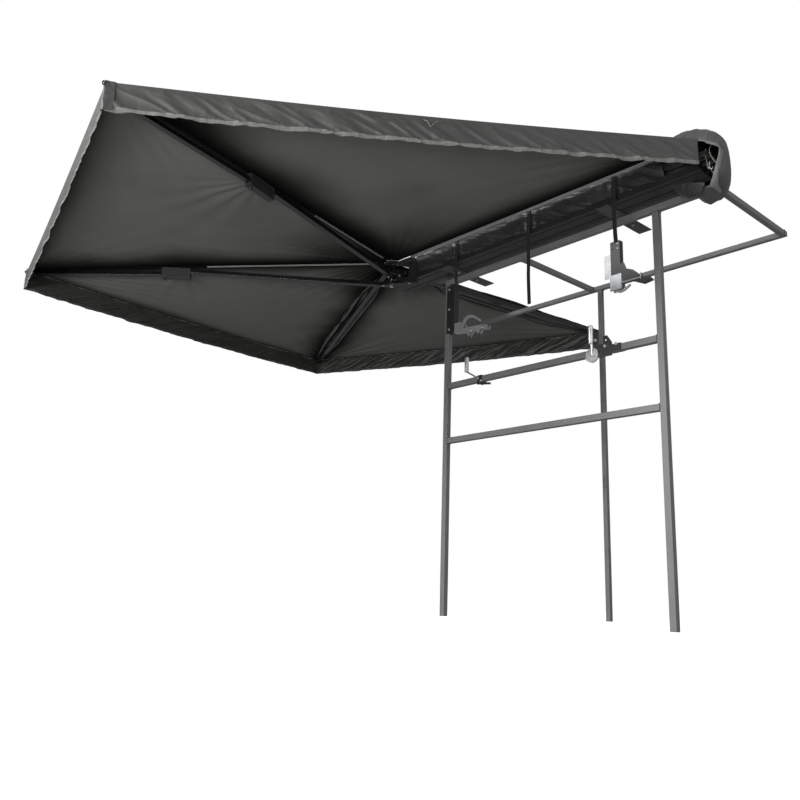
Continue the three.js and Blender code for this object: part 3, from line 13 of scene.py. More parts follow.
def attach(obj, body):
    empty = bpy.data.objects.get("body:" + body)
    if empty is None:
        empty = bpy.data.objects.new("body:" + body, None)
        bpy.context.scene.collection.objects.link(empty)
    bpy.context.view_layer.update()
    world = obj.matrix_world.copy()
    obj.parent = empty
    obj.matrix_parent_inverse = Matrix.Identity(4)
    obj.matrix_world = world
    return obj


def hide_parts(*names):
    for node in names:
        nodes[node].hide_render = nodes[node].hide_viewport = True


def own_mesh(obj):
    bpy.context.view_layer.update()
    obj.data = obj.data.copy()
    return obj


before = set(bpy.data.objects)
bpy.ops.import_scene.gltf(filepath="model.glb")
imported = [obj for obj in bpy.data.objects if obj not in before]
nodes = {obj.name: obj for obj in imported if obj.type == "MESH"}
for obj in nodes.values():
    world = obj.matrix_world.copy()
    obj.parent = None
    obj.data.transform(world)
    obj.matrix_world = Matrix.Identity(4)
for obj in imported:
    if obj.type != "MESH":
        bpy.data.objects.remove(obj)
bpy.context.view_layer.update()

# Places and sizes repeated from the CAD source
HUB = np.array([-0.320, -0.300, 2.400])
CANOPY_START = 0.0606
RIDGE_LEVEL = 0.186
CANOPY_SAG = 0.034
EDGE_SAG = 0.020
CREASE = 0.003
SEAM_GAP = 0.0008
CLOTH = 0.0015
VALANCE_DROP = 0.150
VALANCE_FOLD = 0.009
VALANCE_FOLDS = 8
VALANCE_END = 0.006
SLEEVE_LENGTH = 0.212
SLEEVE_SOCKET = 0.095
KNUCKLE_REACH = 0.092
ARM_HEIGHT = 0.030
SLEEVE_TOP = 0.002
CLEAR = 0.0003
BACKBONE_BASE = 2.445
BAG_LEFT, BAG_RIGHT = -0.1297, 1.900
BAG_FACE = -0.229
BAG_DEPTH = 0.310
BAG_HEIGHT = 0.262
BAG_WALL = 0.003
HOOD_LENGTH = 0.345
HOOD_SQUARENESS = 2.7
STRAP_WIDTH = 0.028
STRAP_THICKNESS = 0.0024
STRAP_GAP = 0.0004

# Sizes that only the looks have
PANEL_THICKNESS = 0.0012
VALANCE_THICKNESS = 0.0013
FLAP_THICKNESS = 0.0014
HEM_ROWS = 5
RIB_PITCH = 0.0024
FLOOR_HALF = 40
UP = np.array([0, 0, 1.0])

# Headings and rises in degrees, the rest in metres
ARMS = [
    {"name": "arm_1", "heading": -71.14, "length": 2.718, "level": 0.050, "side": 0.016,
     "rise": 0.4, "corner": 0.050, "elbow": 1.478},
    {"name": "arm_2", "heading": -129.65, "length": 2.742, "level": 0.008, "side": -0.036,
     "rise": 1.47, "corner": 0.012, "elbow": 1.523},
    {"name": "arm_3", "heading": -204.34, "length": 2.716, "side": 0.016, "corner": 0.132, "elbow": None},
    {"name": "arm_4", "heading": -277.1, "length": 2.325, "side": -0.036, "corner": 0.122, "elbow": None},
]
RIDGES = [{"name": None, "heading": 1.3, "length": 2.457, "side": 0, "corner": 0.200, "elbow": None}, *ARMS]

# Place along x in metres, then the route in millimetres: along y from the bag's face, where less is
# further out, and up from the backbone's base
STRAPS = {
    "strap_left": (0.295, [(0, 150), (0, 118), (-3, 60), (-4, 10), (-3, -60), (0, -130), (4, -165),
                           (12, -198)]),
    "strap_middle": (0.948, [(0, 150), (0, 118), (-4, 60), (-3, 0), (-5, -90), (-3, -190), (-5, -300),
                             (-2, -400), (2, -488)]),
    "strap_right": (1.590, [(0, 150), (0, 118), (-3, 50), (-5, -40), (-3, -140), (0, -216), (5, -268)]),
}


# Nodes

def plug(tree, socket, value):
    """Sets an input to a plain value, or links what feeds it."""
    if isinstance(value, bpy.types.NodeSocket):
        tree.links.new(value, socket)
    else:
        socket.default_value = value


def feed(tree, node, **inputs):
    for label, value in inputs.items():
        plug(tree, node.inputs[label.replace("_", " ")], value)
    return node


def add(tree, kind, settings=None, **inputs):
    """New node with its settings, and its inputs set or linked by name."""
    node = tree.nodes.new(kind)
    for name, value in (settings or {}).items():
        setattr(node, name, value)
    return feed(tree, node, **inputs)


def math_node(tree, operation, *values, clamp=False):
    node = add(tree, "ShaderNodeMath", {"operation": operation, "use_clamp": clamp})
    for socket, value in zip(node.inputs, values):
        plug(tree, socket, value)
    return node.outputs[0]


def times(tree, a, b):
    return math_node(tree, "MULTIPLY", a, b)


def plus(tree, a, b):
    return math_node(tree, "ADD", a, b)


def noise_node(tree, vector, scale, detail, rough, stretch=None):
    if stretch:
        vector = add(tree, "ShaderNodeMapping", Scale=stretch, Vector=vector).outputs[0]
    return add(tree, "ShaderNodeTexNoise", Vector=vector, Scale=scale, Detail=detail,
               Roughness=rough).outputs["Fac"]


def mapped(tree, value, low, high, to_low=0.0, to_high=1.0):
    return add(tree, "ShaderNodeMapRange", Value=value, From_Min=low, From_Max=high, To_Min=to_low,
               To_Max=to_high).outputs["Result"]


def mixed(tree, factor, a, b, mode="MIX"):
    node = add(tree, "ShaderNodeMix", {"data_type": "RGBA", "blend_type": mode, "clamp_factor": True})
    for place, value in ((0, factor), (6, a), (7, b)):
        plug(tree, node.inputs[place], value)
    return node.outputs[2]


def camera_rays(tree):
    return tree.nodes.new("ShaderNodeLightPath").outputs["Is Camera Ray"]


def grey(value):
    return value, value, value


def dimmed(colour, share):
    return tuple(share * c for c in colour) + (1,)


# Camera and studio

def link(name, data):
    obj = bpy.data.objects.new(name, data)
    bpy.context.scene.collection.objects.link(obj)
    return obj


def make_camera():
    """Camera fitted to the stand's straight members in the photograph."""
    yaw, pitch, roll = (math.radians(a) for a in (48.65, 13.17, 1.88))
    ahead = Vector((-math.sin(yaw) * math.cos(pitch), math.cos(yaw) * math.cos(pitch), math.sin(pitch)))
    level = Vector((math.cos(yaw), math.sin(yaw), 0))
    above = level.cross(ahead)
    right = math.cos(roll) * level + math.sin(roll) * above
    up = -math.sin(roll) * level + math.cos(roll) * above
    data = bpy.data.cameras.new("camera")
    data.sensor_width = 36
    data.lens = 796 / 800 * data.sensor_width
    data.clip_start, data.clip_end = 0.05, 200
    camera = link("camera", data)
    turn = Matrix((right, up, -ahead)).transposed()
    camera.matrix_world = Matrix.Translation((4.0021, -3.9814, 0.1881)) @ turn.to_4x4()
    bpy.context.scene.camera = camera


def area_light(name, place, aim, size, power):
    data = bpy.data.lights.new(name, "AREA")
    data.shape = "RECTANGLE"
    data.size, data.size_y = size
    data.energy = power
    light = link(name, data)
    light.location = place
    light.rotation_mode = "QUATERNION"
    light.rotation_quaternion = (Vector(aim) - Vector(place)).to_track_quat("-Z", "Y")


def make_studio():
    """Pale floor, pale surround and three soft lights."""
    world = bpy.data.worlds.new("studio")
    bpy.context.scene.world = world
    world.use_nodes = True
    tree = world.node_tree
    tree.nodes.clear()
    lit = add(tree, "ShaderNodeBackground", Color=(0.93, 0.96, 1.0, 1), Strength=0.34)
    seen = add(tree, "ShaderNodeBackground", Color=(1, 1, 1, 1), Strength=1.0)
    mix = add(tree, "ShaderNodeMixShader", Fac=camera_rays(tree))
    plug(tree, mix.inputs[1], lit.outputs[0])
    plug(tree, mix.inputs[2], seen.outputs[0])
    add(tree, "ShaderNodeOutputWorld", Surface=mix.outputs[0])
    area_light("key", (-1.0, -7.8, 4.6), (0.2, -0.6, 1.9), (3.2, 2.6), 900)
    area_light("low_front", (3.2, -6.4, 0.5), (-0.8, -1.2, 2.4), (4.5, 1.2), 340)
    area_light("side", (8.0, 0.5, 3.2), (0.8, 0, 1.6), (3.5, 3.5), 130)
    mesh = bpy.data.meshes.new("floor")
    mesh.from_pydata([(x * FLOOR_HALF, y * FLOOR_HALF, 0) for x, y in ((-1, -1), (1, -1), (1, 1), (-1, 1))],
                     [], [(0, 1, 2, 3)])
    floor = link("floor", mesh)
    material = bpy.data.materials.new("floor")
    material.use_nodes = True
    tree = material.node_tree
    shader = feed(tree, tree.nodes["Principled BSDF"], Base_Color=(*grey(0.42), 1), Roughness=0.9)
    glow = add(tree, "ShaderNodeEmission", Strength=times(tree, camera_rays(tree), 0.9))
    both = tree.nodes.new("ShaderNodeAddShader")
    plug(tree, both.inputs[0], shader.outputs[0])
    plug(tree, both.inputs[1], glow.outputs[0])
    feed(tree, tree.nodes["Material Output"], Surface=both.outputs[0])
    mesh.materials.append(material)
    bpy.context.scene.view_settings.view_transform = "Standard"


# Shader node groups

def new_group(name, inputs, outputs):
    """Empty shader group. Its inputs' values tell their kinds; its outputs are numbers, but for Color."""
    group = bpy.data.node_groups.new(name, "ShaderNodeTree")
    for label, value in inputs.items():
        kind = "Vector" if value is None else "Color" if isinstance(value, tuple) else "Float"
        socket = group.interface.new_socket(name=label, in_out="INPUT", socket_type=f"NodeSocket{kind}")
        if value is not None:
            socket.default_value = value
    for label in outputs:
        kind = "Color" if label == "Color" else "Float"
        group.interface.new_socket(name=label, in_out="OUTPUT", socket_type=f"NodeSocket{kind}")
    return group, group.nodes.new("NodeGroupInput").outputs, group.nodes.new("NodeGroupOutput")


def build_weave():
    """Plain weave: two crossed sets of threads, from a vector in metres."""
    group, start, end = new_group("plain_weave", {"Vector": None, "Threads": 900.0}, ("Height", "Gap"))
    split = add(group, "ShaderNodeSeparateXYZ", Vector=start["Vector"]).outputs
    waves = [math_node(group, "SINE", times(group, times(group, split[axis], start["Threads"]), math.pi))
             for axis in ("X", "Y")]
    bumps = [math_node(group, "ABSOLUTE", wave) for wave in waves]
    height = plus(group, times(group, plus(group, *bumps), 0.5), times(group, *waves))
    gap = math_node(group, "SUBTRACT", 1.0, times(group, *bumps), clamp=True)
    feed(group, end, Height=height, Gap=gap)
    return group


def build_mottle():
    """Uneven colour of cloth or paint, from broad patches and small specks."""
    group, start, end = new_group(
        "mottle", {"Vector": None, "Color": (*grey(0.5), 1), "Amount": 0.2, "Patch Scale": 3.0,
                   "Speck Scale": 60.0}, ("Color", "Patches", "Specks"))
    patches = noise_node(group, start["Vector"], start["Patch Scale"], 4.0, 0.55)
    specks = noise_node(group, start["Vector"], start["Speck Scale"], 2.0, 0.6)
    both = plus(group, times(group, patches, 0.7), times(group, specks, 0.3))
    swing = times(group, math_node(group, "SUBTRACT", both, 0.5), 2.0)
    gain = plus(group, 1.0, times(group, swing, start["Amount"]))
    tint = add(group, "ShaderNodeCombineColor", Red=gain, Green=gain, Blue=gain)
    colour = mixed(group, 1.0, start["Color"], tint.outputs[0], "MULTIPLY")
    feed(group, end, Color=colour, Patches=patches, Specks=specks)
    return group


def build_scuffs():
    """Thin rubs and scratches on metal and plastic, as a mask."""
    group, start, end = new_group("scuffs", {"Vector": None, "Coverage": 0.3}, ("Mask", "Height"))
    streaks, across = (noise_node(group, start["Vector"], 30.0, 5.0, 0.7, stretch)
                       for stretch in ((6.0, 1.0, 1.0), (1.0, 1.0, 7.0)))
    where = noise_node(group, start["Vector"], 4.0, 3.0, 0.5)
    sharp = times(group, mapped(group, streaks, 0.56, 0.72), mapped(group, across, 0.45, 0.62))
    mask = math_node(group, "MULTIPLY", times(group, sharp, mapped(group, where, 0.45, 0.7)),
                     start["Coverage"], clamp=True)
    feed(group, end, Mask=mask, Height=streaks)
    return group


WEAVE = build_weave()
MOTTLE = build_mottle()
SCUFFS = build_scuffs()


def use_group(tree, group, **inputs):
    return add(tree, "ShaderNodeGroup", {"node_tree": group}, **inputs).outputs


def mottled(tree, place, colour, amount, patches, specks):
    return use_group(tree, MOTTLE, Vector=place, Color=(*colour, 1), Amount=amount, Patch_Scale=patches,
                     Speck_Scale=specks)


def bump_node(tree, height, strength, distance, **normal):
    return add(tree, "ShaderNodeBump", Strength=strength, Distance=distance, Height=height,
               **normal).outputs[0]


# Finishes, by name

LOOKS = {}


def new_material(name):
    material = bpy.data.materials.new(name)
    material.use_nodes = True
    LOOKS[name] = material
    tree = material.node_tree
    return tree, tree.nodes["Principled BSDF"], tree.nodes.new("ShaderNodeTexCoord").outputs["Object"]


def metres_map(tree):
    return add(tree, "ShaderNodeUVMap", {"uv_map": "metres"}).outputs[0]


def cloth_material(name, colour, painted_shade_colour=None, rough=0.62, sheen=0.15, threads=900.0, crumple=0.0, gloss=0.2):
    """Woven cloth. Where the piece has an attribute named shade, painted shade takes the colour towards the
    given shade colour and takes away its gloss and sheen.
    """
    tree, shader, place = new_material(name)
    weave = use_group(tree, WEAVE, Vector=metres_map(tree), Threads=threads)
    mottle = mottled(tree, place, colour, 0.22, 2.2, 90.0)
    tone = mixed(tree, mapped(tree, weave["Gap"], 0.55, 1.0, 0.0, 0.35), mottle["Color"],
                 dimmed(colour, 0.35))
    if painted_shade_colour is not None:
        # Painted shade: the shade attribute darkens the colour and takes away gloss and sheen.
        shade = add(tree, "ShaderNodeAttribute", {"attribute_name": "shade"}).outputs["Fac"]
        tone = mixed(tree, shade, tone, (*painted_shade_colour, 1))
        gloss, sheen = (mapped(tree, shade, 0.0, 0.8, most, 0.0) for most in (gloss, sheen))
    normal = bump_node(tree, weave["Height"], 0.25, 0.0002)
    if crumple:
        normal = bump_node(tree, noise_node(tree, place, 26.0, 5.0, 0.62), crumple, 0.006, Normal=normal)
    feed(tree, shader, Base_Color=tone, Normal=normal, Specular_IOR_Level=gloss, Sheen_Weight=sheen,
         Sheen_Roughness=0.5, Roughness=mapped(tree, mottle["Patches"], 0.3, 0.7, rough - 0.07, rough + 0.07))


def webbing_material(name, colour):
    """Ribbed webbing: a coarse twill along the strap."""
    tree, shader, place = new_material(name)
    split = add(tree, "ShaderNodeSeparateXYZ", Vector=metres_map(tree)).outputs
    slant = plus(tree, split["Y"], math_node(tree, "ABSOLUTE", split["X"]))
    ribs = math_node(tree, "SINE", times(tree, slant, 2 * math.pi / RIB_PITCH))
    tone = mixed(tree, mapped(tree, ribs, -1.0, 0.2, 0.45, 0.0),
                 mottled(tree, place, colour, 0.3, 9.0, 300.0)["Color"], dimmed(colour, 0.4))
    feed(tree, shader, Base_Color=tone, Roughness=0.78, Sheen_Weight=0.03, Specular_IOR_Level=0.25,
         Normal=bump_node(tree, ribs, 0.5, 0.0004))


def metal_material(name, colour, metallic, rough, amount=0.2, wear=0.35, worn=None, grain=0.08):
    """Painted, anodised or bare metal with uneven tone, rubs and a fine surface grain."""
    tree, shader, place = new_material(name)
    mottle = mottled(tree, place, colour, amount, 5.0, 220.0)
    scuffs = use_group(tree, SCUFFS, Vector=place, Coverage=wear)
    worn = worn or tuple(min(1.0, 2.2 * c + 0.02) for c in colour)
    base = mapped(tree, mottle["Patches"], 0.3, 0.7, rough - 0.06, rough + 0.08)
    fine = bump_node(tree, noise_node(tree, place, 900.0, 2.0, 0.5), grain, 0.0004)
    feed(tree, shader, Base_Color=mixed(tree, scuffs["Mask"], mottle["Color"], (*worn, 1)),
         Roughness=plus(tree, base, times(tree, scuffs["Mask"], 0.12)), Metallic=metallic,
         Normal=bump_node(tree, scuffs["Height"], 0.03, 0.0008, Normal=fine))


def plastic_material(name, colour, rough=0.55):
    """Moulded plastic with a fine spark texture."""
    tree, shader, place = new_material(name)
    mottle = mottled(tree, place, colour, 0.18, 9.0, 400.0)
    scuffs = use_group(tree, SCUFFS, Vector=place, Coverage=0.25)
    spark = noise_node(tree, place, 1400.0, 2.0, 0.6)
    feed(tree, shader, Base_Color=mixed(tree, scuffs["Mask"], mottle["Color"], dimmed(colour, 3)),
         Roughness=mapped(tree, mottle["Specks"], 0.3, 0.7, rough - 0.08, rough + 0.1),
         Normal=bump_node(tree, spark, 0.22, 0.0003))


# For the first three cloths the second colour is their painted shade colour, used where a piece has the shade
# attribute.
cloth_material("canvas_under", (0.102, 0.102, 0.093), grey(0.003), 0.72, 0.03, gloss=0.12)
cloth_material("canvas_out", (0.038, 0.039, 0.036), grey(0.010), 0.50, 0.04, crumple=0.35, gloss=0.35)
cloth_material("canvas_in", (0.030, 0.030, 0.027), grey(0.005), 0.48, 0.03, crumple=0.6, gloss=0.4)
cloth_material("hem", (0.125, 0.125, 0.118), None, 0.68, 0.1, 700.0, 0.5)
cloth_material("tape", (0.17, 0.17, 0.165), None, 0.7, 0.1, 600.0)
cloth_material("bag_cloth", (0.040, 0.040, 0.038), None, 0.55, 0.06, 600.0, 0.35, 0.4)
cloth_material("bag_flap", grey(0.010), None, 0.42, 0.02, crumple=0.3, gloss=0.5)
cloth_material("hood_band", (0.095, 0.095, 0.092), None, 0.6, 0.08, 600.0, 0.2, 0.3)
cloth_material("lining", grey(0.006), None, 0.8, 0.0, crumple=0.4, gloss=0.05)
cloth_material("thread", (0.16, 0.16, 0.15), rough=0.7, threads=2500.0)
webbing_material("webbing", (0.009, 0.009, 0.010))
webbing_material("cord", (0.15, 0.148, 0.14))
metal_material("stand_steel", (0.115, 0.115, 0.118), 0.15, 0.50, 0.28, 0.5, (0.22, 0.215, 0.21))
metal_material("weld", (0.075, 0.073, 0.072), 0.3, 0.45, 0.5, 0.2)
metal_material("extrusion", (0.012, 0.012, 0.013), 0.1, 0.36, wear=0.3, worn=grey(0.03))
metal_material("arm", (0.005, 0.005, 0.0055), 0.0, 0.22, wear=0.3, grain=0.03)
metal_material("black_metal", (0.014, 0.014, 0.015), 0.1, 0.40, wear=0.4)
# Painted shade: a darker copy of the stand's steel for the mount plates, for the shade under the backbone.
metal_material("shaded_plate_steel", (0.045, 0.045, 0.047), 0.1, 0.5, wear=0.4)
metal_material("zinc", (0.42, 0.425, 0.43), 0.7, 0.33, 0.25, 0.4, (0.75, 0.75, 0.74))
metal_material("bright", (0.62, 0.63, 0.64), 0.9, 0.26, 0.12, 0.25, grey(0.8))
plastic_material("plastic", (0.012, 0.012, 0.013))


# Mesh helpers

def loose_mesh(name, points, faces, look, uvs=None, shade=None):
    """Object from points and faces, with its map in metres and its finish. Faces are turned outwards."""
    mesh = bpy.data.meshes.new(name)
    mesh.from_pydata([tuple(p) for p in points], [], [tuple(f) for f in faces])
    layer = mesh.uv_layers.new(name="metres")
    if uvs is not None:
        index = np.empty(len(mesh.loops), np.int32)
        mesh.loops.foreach_get("vertex_index", index)
        layer.data.foreach_set("uv", np.asarray(uvs, np.float32)[index].ravel())
    if shade is not None:
        attribute = mesh.attributes.new("shade", "FLOAT", "POINT")
        attribute.data.foreach_set("value", np.asarray(shade, np.float32))
    if signed_volume(mesh) < 0:
        mesh.flip_normals()
    mesh.materials.append(LOOKS[look])
    mesh.polygons.foreach_set("use_smooth", [True] * len(mesh.polygons))
    return link(name, mesh)


def settle(obj, body):
    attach(obj, body)
    return obj


def signed_volume(mesh):
    mesh.calc_loop_triangles()
    co = np.empty(len(mesh.vertices) * 3)
    mesh.vertices.foreach_get("co", co)
    tri = np.empty(len(mesh.loop_triangles) * 3, np.int32)
    mesh.loop_triangles.foreach_get("vertices", tri)
    a, b, c = (co.reshape(-1, 3)[tri.reshape(-1, 3)[:, i]] for i in range(3))
    return float((a * np.cross(b, c)).sum() / 6)


def unit(vectors):
    return vectors / np.maximum(np.linalg.norm(vectors, axis=-1, keepdims=True), 1e-12)


def sheet_parts(points, thickness, normals=None):
    """Closed thin sheet round a grid of middle points: points and faces."""
    rows, columns = points.shape[:2]
    if normals is None:
        normals = unit(np.cross(np.gradient(points, axis=1), np.gradient(points, axis=0)))
    both = np.concatenate([(points + normals * thickness / 2).reshape(-1, 3),
                           (points - normals * thickness / 2).reshape(-1, 3)])
    layer = rows * columns
    at = np.arange(layer).reshape(rows, columns)
    a, b, c, d = at[:-1, :-1].ravel(), at[:-1, 1:].ravel(), at[1:, 1:].ravel(), at[1:, :-1].ravel()
    faces = [np.stack([a, b, c, d], 1), np.stack([a, d, c, b], 1) + layer]
    for edge, flipped in ((at[0], False), (at[-1], True), (at[:, 0], True), (at[:, -1], False)):
        p, q = edge[:-1], edge[1:]
        rim = np.stack([q, p, p + layer, q + layer], 1)
        faces.append(rim[:, ::-1] if flipped else rim)
    return both, np.concatenate(faces)


def cloth(name, points, thickness, look, body, shade=None, replaces=None, normals=None):
    """Cloth piece from a grid of middle points, with a map in metres for its weave."""
    verts, faces = sheet_parts(points, thickness, normals)
    across = np.linalg.norm(np.diff(points, axis=1), axis=2)
    down = np.linalg.norm(np.diff(points, axis=0), axis=2)
    u = np.concatenate([np.zeros((points.shape[0], 1)), np.cumsum(across, axis=1)], axis=1)
    v = np.concatenate([np.zeros((1, points.shape[1])), np.cumsum(down, axis=0)], axis=0)
    u = u - u[:, u.shape[1] // 2][:, None]
    uv = np.stack([u, v], 2).reshape(-1, 2)
    # Painted shade goes on the underside only; the top face stays plain.
    both = None if shade is None else np.concatenate([np.zeros(shade.size), shade.ravel()])
    obj = settle(loose_mesh(name, verts, faces, look, np.concatenate([uv, uv]), both), body)
    if replaces:
        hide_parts(*replaces)
    return obj


def strides(path):
    return np.linalg.norm(np.diff(path, axis=0), axis=1)


def directions(path):
    return unit(np.gradient(path, axis=0))


def sweep(name, path, section, side, look, body):
    """Closed sweep along a path, with flat ends. The section's points are along side and across it."""
    ways = directions(path)
    sides = np.tile(np.asarray(side, float), (len(path), 1))
    sides = sides - (sides * ways).sum(1, keepdims=True) * ways
    sides = sides / np.linalg.norm(sides, axis=1, keepdims=True)
    others = np.cross(ways, sides)
    points = path[:, None] + (section[None, :, :1] * sides[:, None] + section[None, :, 1:] * others[:, None])
    count = len(section)
    rings = np.arange(len(path) * count).reshape(len(path), count)
    after = np.roll(rings, -1, axis=1)
    quads = np.stack([rings[:-1].ravel(), after[:-1].ravel(), after[1:].ravel(), rings[1:].ravel()], 1)
    faces = [*quads, rings[0][::-1], rings[-1]]
    travelled = np.concatenate([[0], np.cumsum(strides(path))])
    uv = np.stack(np.broadcast_arrays(section[None, :, 0], travelled[:, None]), 2).reshape(-1, 2)
    return settle(loose_mesh(name, points.reshape(-1, 3), faces, look, uv), body)


def round_section(radius, sides):
    angles = np.linspace(0, 2 * math.pi, sides, endpoint=False)
    return np.stack([radius * np.cos(angles), radius * np.sin(angles)], 1)


def flat_section(width, thickness):
    """Flat band with softly rounded long edges."""
    xs = np.linspace(-width / 2 + thickness / 2, width / 2 - thickness / 2, 5)
    top = [(x, thickness / 2) for x in xs]
    bottom = [(x, -thickness / 2) for x in xs[::-1]]
    return np.array([(-width / 2, 0), *top, (width / 2, 0), *bottom])


def spline(points, steps):
    """Smooth curve through points (Catmull-Rom)."""
    points = np.asarray(points, float)
    padded = np.concatenate([[2 * points[0] - points[1]], points, [2 * points[-1] - points[-2]]])
    result = []
    for i in range(1, len(padded) - 2):
        p0, p1, p2, p3 = padded[i - 1:i + 3]
        for t in np.linspace(0, 1, steps, endpoint=False):
            result.append(0.5 * (2 * p1 + (p2 - p0) * t + (2 * p0 - 5 * p1 + 4 * p2 - p3) * t * t
                                 + (3 * p1 - p0 - 3 * p2 + p3) * t ** 3))
    return np.array([*result, points[-1]])


def noise_field(a, b, seed, octaves=3):
    """Smooth noise from -1 to 1 over two grids of the same shape."""
    flat = zip(np.asarray(a).ravel(), np.asarray(b).ravel())
    values = [noise.fractal(Vector((x, y, seed)), 0.9, 2.1, octaves) for x, y in flat]
    return np.array(values).reshape(np.shape(a))


# Canopy

def sleeve_top(arm):
    slope = math.tan(math.radians(arm["rise"]))
    levels = [arm["level"] + (place - KNUCKLE_REACH) * slope
              for place in (arm["elbow"], arm["elbow"] + SLEEVE_SOCKET)]
    return max(levels) + ARM_HEIGHT + SLEEVE_TOP + CLEAR


def ridge_heading(ridge):
    return math.radians(ridge["heading"]) + math.atan2(ridge["side"], ridge["length"])


def ridge_side(ridge):
    angle = ridge_heading(ridge)
    return np.array([-math.sin(angle), math.cos(angle), 0])


def ridge_length(ridge):
    return ridge["length"] - CANOPY_START


def ridge_points(ridge, share):
    """Points of a canopy ridge from the hub (0) to the arm's tip (1)."""
    distance = CANOPY_START + np.asarray(share, float) * ridge_length(ridge)
    keys = [(CANOPY_START, RIDGE_LEVEL), (ridge["length"], ridge["corner"])]
    if ridge["elbow"]:
        keys.insert(1, (ridge["elbow"] + SLEEVE_LENGTH, sleeve_top(ridge) + CLOTH + CREASE))
    level = np.interp(distance, *zip(*keys))
    angle = ridge_heading(ridge)
    return HUB + np.stack([distance * math.cos(angle), distance * math.sin(angle), level], -1)


def from_hub(points):
    return np.hypot(points[..., 0] - HUB[0], points[..., 1] - HUB[1])


def outward(chord):
    """Level direction square to a chord of the canopy's outer edge."""
    return np.array([-chord[1], chord[0], 0]) / math.hypot(chord[0], chord[1])


def canopy_points(first, second, u, v):
    """Middle of the cloth between two ridges, as the CAD has it."""
    start, end = ridge_points(first, v), ridge_points(second, v)
    along = end - start
    inset = (SEAM_GAP / np.linalg.norm(along, axis=-1))[..., None]
    points = start + along * (inset + u[..., None] * (1 - 2 * inset))
    push = np.maximum(1, CANOPY_START / from_hub(points))[..., None]
    points[..., :2] = HUB[:2] + (points[..., :2] - HUB[:2]) * push
    edge = v * v
    points[..., 2] -= np.sin(np.pi * u) * (CANOPY_SAG * v * (1 - edge) + EDGE_SAG * edge)
    return points


def fan_of_creases(points, centre, first_way, second_way, count, reach, depth, seed):
    """Creases that spread from a corner between two directions and die out with distance."""
    flat = points[..., :2] - centre[:2]
    far = np.hypot(flat[..., 0], flat[..., 1])
    start = math.atan2(first_way[1], first_way[0])
    opening = (math.atan2(second_way[1], second_way[0]) - start + math.pi) % (2 * math.pi) - math.pi
    angle = (np.arctan2(flat[..., 1], flat[..., 0]) - start + np.pi) % (2 * np.pi) - np.pi
    share = np.clip(angle / opening, 0, 1)
    bend = noise_field(2.2 * share, 0.6 * far / reach, seed, 2)
    waves = np.sin(2 * np.pi * (count * share + 0.45 * bend)) * np.sin(np.pi * share)
    fade = (1 - np.exp(-far / (0.12 * reach))) * np.exp(-(far / reach) ** 1.4)
    return depth * waves * fade


# How far the painted shade reaches over each panel, in metres, and how deep it is: from the panel's first
# ridge, its second ridge, the hub and its outer edge
PAINTED_SHADE_REACH = [(0.20, 0.40, 0.80, 0.05), (0.07, 0.30, 0.85, 0.10), (0.16, 0.26, 0.50, 0.10),
                (0.24, 0.16, 0.45, 0.08)]
PAINTED_SHADE_DEPTH = (0.97, 0.99, 0.98, 0.75)


def canopy_panel(number, first, second, columns=150, rows=130):
    """Panel with creases from its corners, the hub and the elbow of its first arm."""
    u, v = np.meshgrid(np.linspace(0, 1, columns), np.linspace(0, 1, rows))
    points = canopy_points(first, second, u, v)
    flat = points.copy()
    ends = [ridge_points(first, 1.0), ridge_points(second, 1.0)]
    corner_depth, hub_depth = (0.006 if number < 3 else 0.013), (0.002 if number == 1 else 0.006)
    lift = np.zeros_like(u)
    for i, corner in enumerate(ends):
        lift += fan_of_creases(flat, corner, ends[1 - i] - corner, HUB - corner, 6, 0.75, corner_depth,
                               3.1 * number + i)
    lift += fan_of_creases(flat, HUB, ends[0] - HUB, ends[1] - HUB, 8, 0.8, hub_depth, 7.7 * number)
    if first["elbow"]:
        elbow = (first["elbow"] + SLEEVE_LENGTH / 2 - CANOPY_START) / ridge_length(first)
        middle, out = ((ends[0] + ends[1]) / 2 - HUB)[:2], (ends[0] - HUB)[:2]
        away = middle - out * (middle @ out) / (out @ out)
        lift += fan_of_creases(flat, ridge_points(first, elbow), away + 0.7 * out, away - 0.7 * out, 6, 0.5,
                               0.008, 5.3 * number)
    x, y = points[..., 0], points[..., 1]
    lift += 0.004 * noise_field(x * 1.6, y * 1.6, 11.0 + number, 3)
    points[..., 2] += lift * (np.clip(np.sin(np.pi * u) * 6, 0, 1) ** 1.5 * np.clip((1 - v) / 0.05, 0, 1))
    side = np.linalg.norm(ends[1] - ends[0])
    width = side * np.maximum(v, 0.05)
    uneven = 1 + 0.45 * noise_field(x * 1.3, y * 1.3, 21.0 + number, 3)
    # Painted shade: darker towards both ridges, the hub and the outer edge, reaching unevenly.
    shade = np.zeros_like(u)
    for distance, soft, most in zip((u * width, (1 - u) * width, from_hub(points),
                                     (1 - v) * ridge_length(first)), PAINTED_SHADE_REACH[number - 1], PAINTED_SHADE_DEPTH):
        shade = np.maximum(shade, most * np.exp(-(distance * uneven / soft) ** 2))
    body = second["name"]
    obj = cloth(f"canopy_cloth_{number}", points, PANEL_THICKNESS, "canvas_under", body, shade=shade,
                replaces=[f"canopy_panel_{number}"], normals=np.broadcast_to(UP, points.shape))
    fold_away(obj)


def fold_away(obj):
    """Gives the cloth a mesh of its own."""
    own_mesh(obj)


# Hems' outer faces, for their stitches: number, ridge, line
HEM_LINES = []


